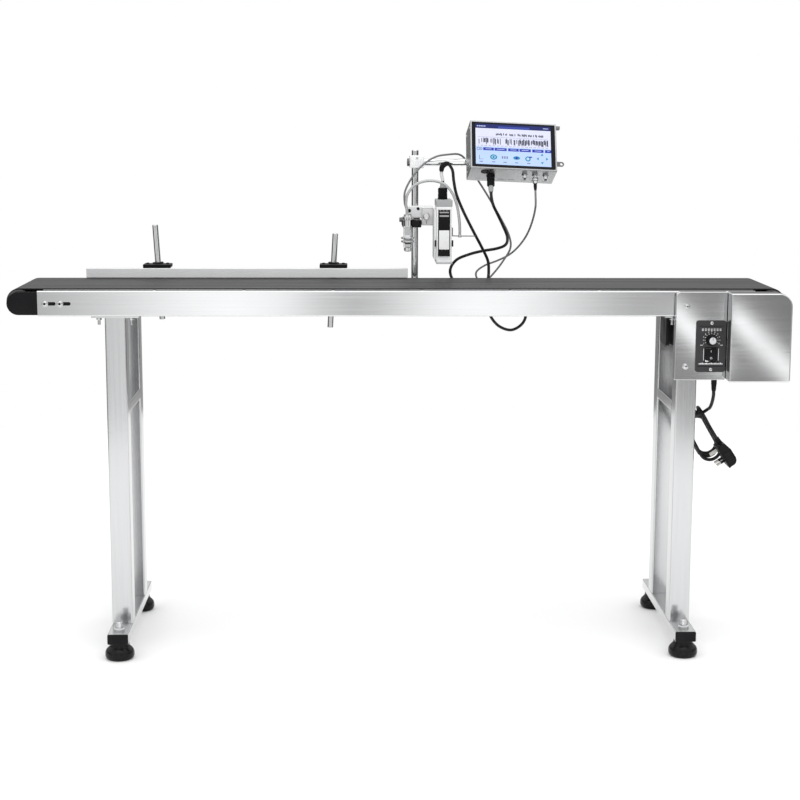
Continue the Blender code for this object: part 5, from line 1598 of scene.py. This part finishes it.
def make_gland():
    """The ribbed strain relief that the mains cord hangs from, under its collar and nut."""
    gland = [(0.0040, 0.5160), (0.0044, 0.5200), (0.0047, 0.5204), (0.0045, 0.5240), (0.0050, 0.5244)]
    gland += [(0.0048, 0.5280), (0.0054, 0.5286), (0.0054, 0.5374), (0.0040, 0.5376), (0.0040, 0.5400)]
    x, y, _ = POWER_CORD[0]
    return Shape().lathe(gland, (x, y, 0), steps=40).done("cord_gland", BLACK, "frame", "power_gland")


def make_tie():
    """A flat rubber tie around the hank's left runs."""
    outer = rounded((-0.0252, -0.0185), (-0.0150, 0.0232), 0.0030)
    inner = rounded((-0.0240, -0.0172), (-0.0162, 0.0219), 0.0022)
    tie = Shape(HANK_PLACE).prism(outer, "Z", 0.0120, 0.0200, bevel=0.0004, holes=[inner])
    return tie.done("hank_tie", RUBBER, "frame")


def make_plug():
    """A moulded three-pin plug: body with its relief, side grips, pins and the two sleeved pins' sleeves."""
    wide, face, thick = 0.0205, -0.0105, 0.0110
    body = Shape(PLUG_PLACE)
    outline = [(-thick, -0.0260), (0.0030, -0.0260), (0.0090, -0.0215), (thick, -0.0150), (thick, 0.0040)]
    outline += [(0.0070, 0.0180), (0.0045, 0.0220), (-0.0060, 0.0220), (-thick, 0.0150)]
    body.prism(outline, "Y", -wide, wide, bevel=0.0028, segments=4)
    body.prism(rounded((-thick, -0.0262), (-0.0074, wide), 0.0012), "Y", -0.0212, 0.0212, bevel=0.0010)
    relief = [(0.0060, 0.0210), (0.0060, 0.0222), (0.0048, 0.0230), (0.0055, 0.0238), (0.0055, 0.0252)]
    relief += [(0.0046, 0.0260), (0.0052, 0.0268), (0.0052, 0.0282), (0.0044, 0.0290), (0.0048, 0.0298)]
    relief += [(0.0046, 0.0340), (0.0036, 0.0344)]
    body.lathe(relief, steps=40)
    grip = Shape(PLUG_PLACE)
    for i in range(5):
        z = -0.0170 + i * 0.0042
        for near, far in ((-0.0211, -0.0200), (0.0200, 0.0211)):
            grip.box((-0.0062, near, z), (0.0060, far, z + 0.0018), 0.0004)
    pins, sleeves = Shape(PLUG_PLACE), Shape(PLUG_PLACE)
    pins.box((PIN_TIP, -0.0020, 0.0088), (face, 0.0020, 0.0153), 0.0007)
    for y in (-0.011, 0.011):
        pins.box((PIN_TIP, y - 0.0032, -0.0120), (face, y + 0.0032, -0.0080), 0.0007)
        sleeves.box((-0.0195, y - 0.0034, -0.0122), (face + 0.0001, y + 0.0034, -0.0078), 0.0007)
    return (
        body.done("mains_plug", BLACK, "frame", "power_plug"),
        grip.done("mains_plug_grip", RUBBER, "frame"),
        pins.done("mains_plug_pins", PLUG_PINS, "frame"),
        sleeves.done("mains_plug_sleeves", BLACK_PAINT, "frame"),
    )


def make_power_cord():
    """The mains cord with its gland, its hank's tie and its plug."""
    points = power_route()
    gland = make_gland()
    cord = Shape().sweep(points, CORD_R).done("mains_cord", JACKET, "frame", "power_cord", "cord_hank")
    tie = make_tie()
    facts = {"path": points, "with_pieces": (gland, *make_plug(), tie)}


def make_clip():
    """A clip that holds the head cable to the rear rail."""
    clip = Shape()
    centre = (0.1910, 0.1325)
    hollow = ring(0.0032, 32, centre)
    clip.prism(ring(0.0050, 32, centre), "Z", 0.6850, 0.6950, bevel=0.0006, holes=[hollow])
    clip.box((0.1950, 0.1272, 0.6850), (0.2060, 0.1290, 0.6950), 0.0005)
    clip.box((0.1945, 0.1275, 0.6850), (0.1966, 0.1330, 0.6950), 0.0005)
    screw(clip, (0.2020, 0.1289, 0.6900), BACK, 0.0030, 0.0022, 0.0013, cross)
    clip.done("cable_clip", BLACK, "frame")


def make_boot():
    """The stiff bend, and the pale stretch after it, where the head cable turns down into its plug."""
    points = smooth_route(HEAD_CABLE_UPPER, 0.001)
    count = len(points)
    start, middle, end = [int(count * share) for share in BOOT_SHARES]
    bend, pale = points[start:middle], points[middle:end]
    shaped = [0.0044 + 0.0010 * math.sin(math.pi * i / (len(bend) - 1)) for i in range(len(bend))]
    Shape().sweep(bend, shaped).done("cable_boot", BLACK, "head")
    Shape().sweep(pale, 0.0034).done("cable_pale_stretch", PRINT_WHITE, "head")


make_power_cord()
make_cable("head_cable_lower", HEAD_CABLE_LOWER, 0.003, JACKET)
make_cable("head_cable_upper", HEAD_CABLE_UPPER, 0.003, JACKET)
make_cable("sensor_lead", SENSOR_LEAD, 0.002, LEAD_GREY)
make_cable("sensor_sleeve", SLEEVE, 0.00275, SLEEVE_CLEAR)
make_clip()
make_boot()
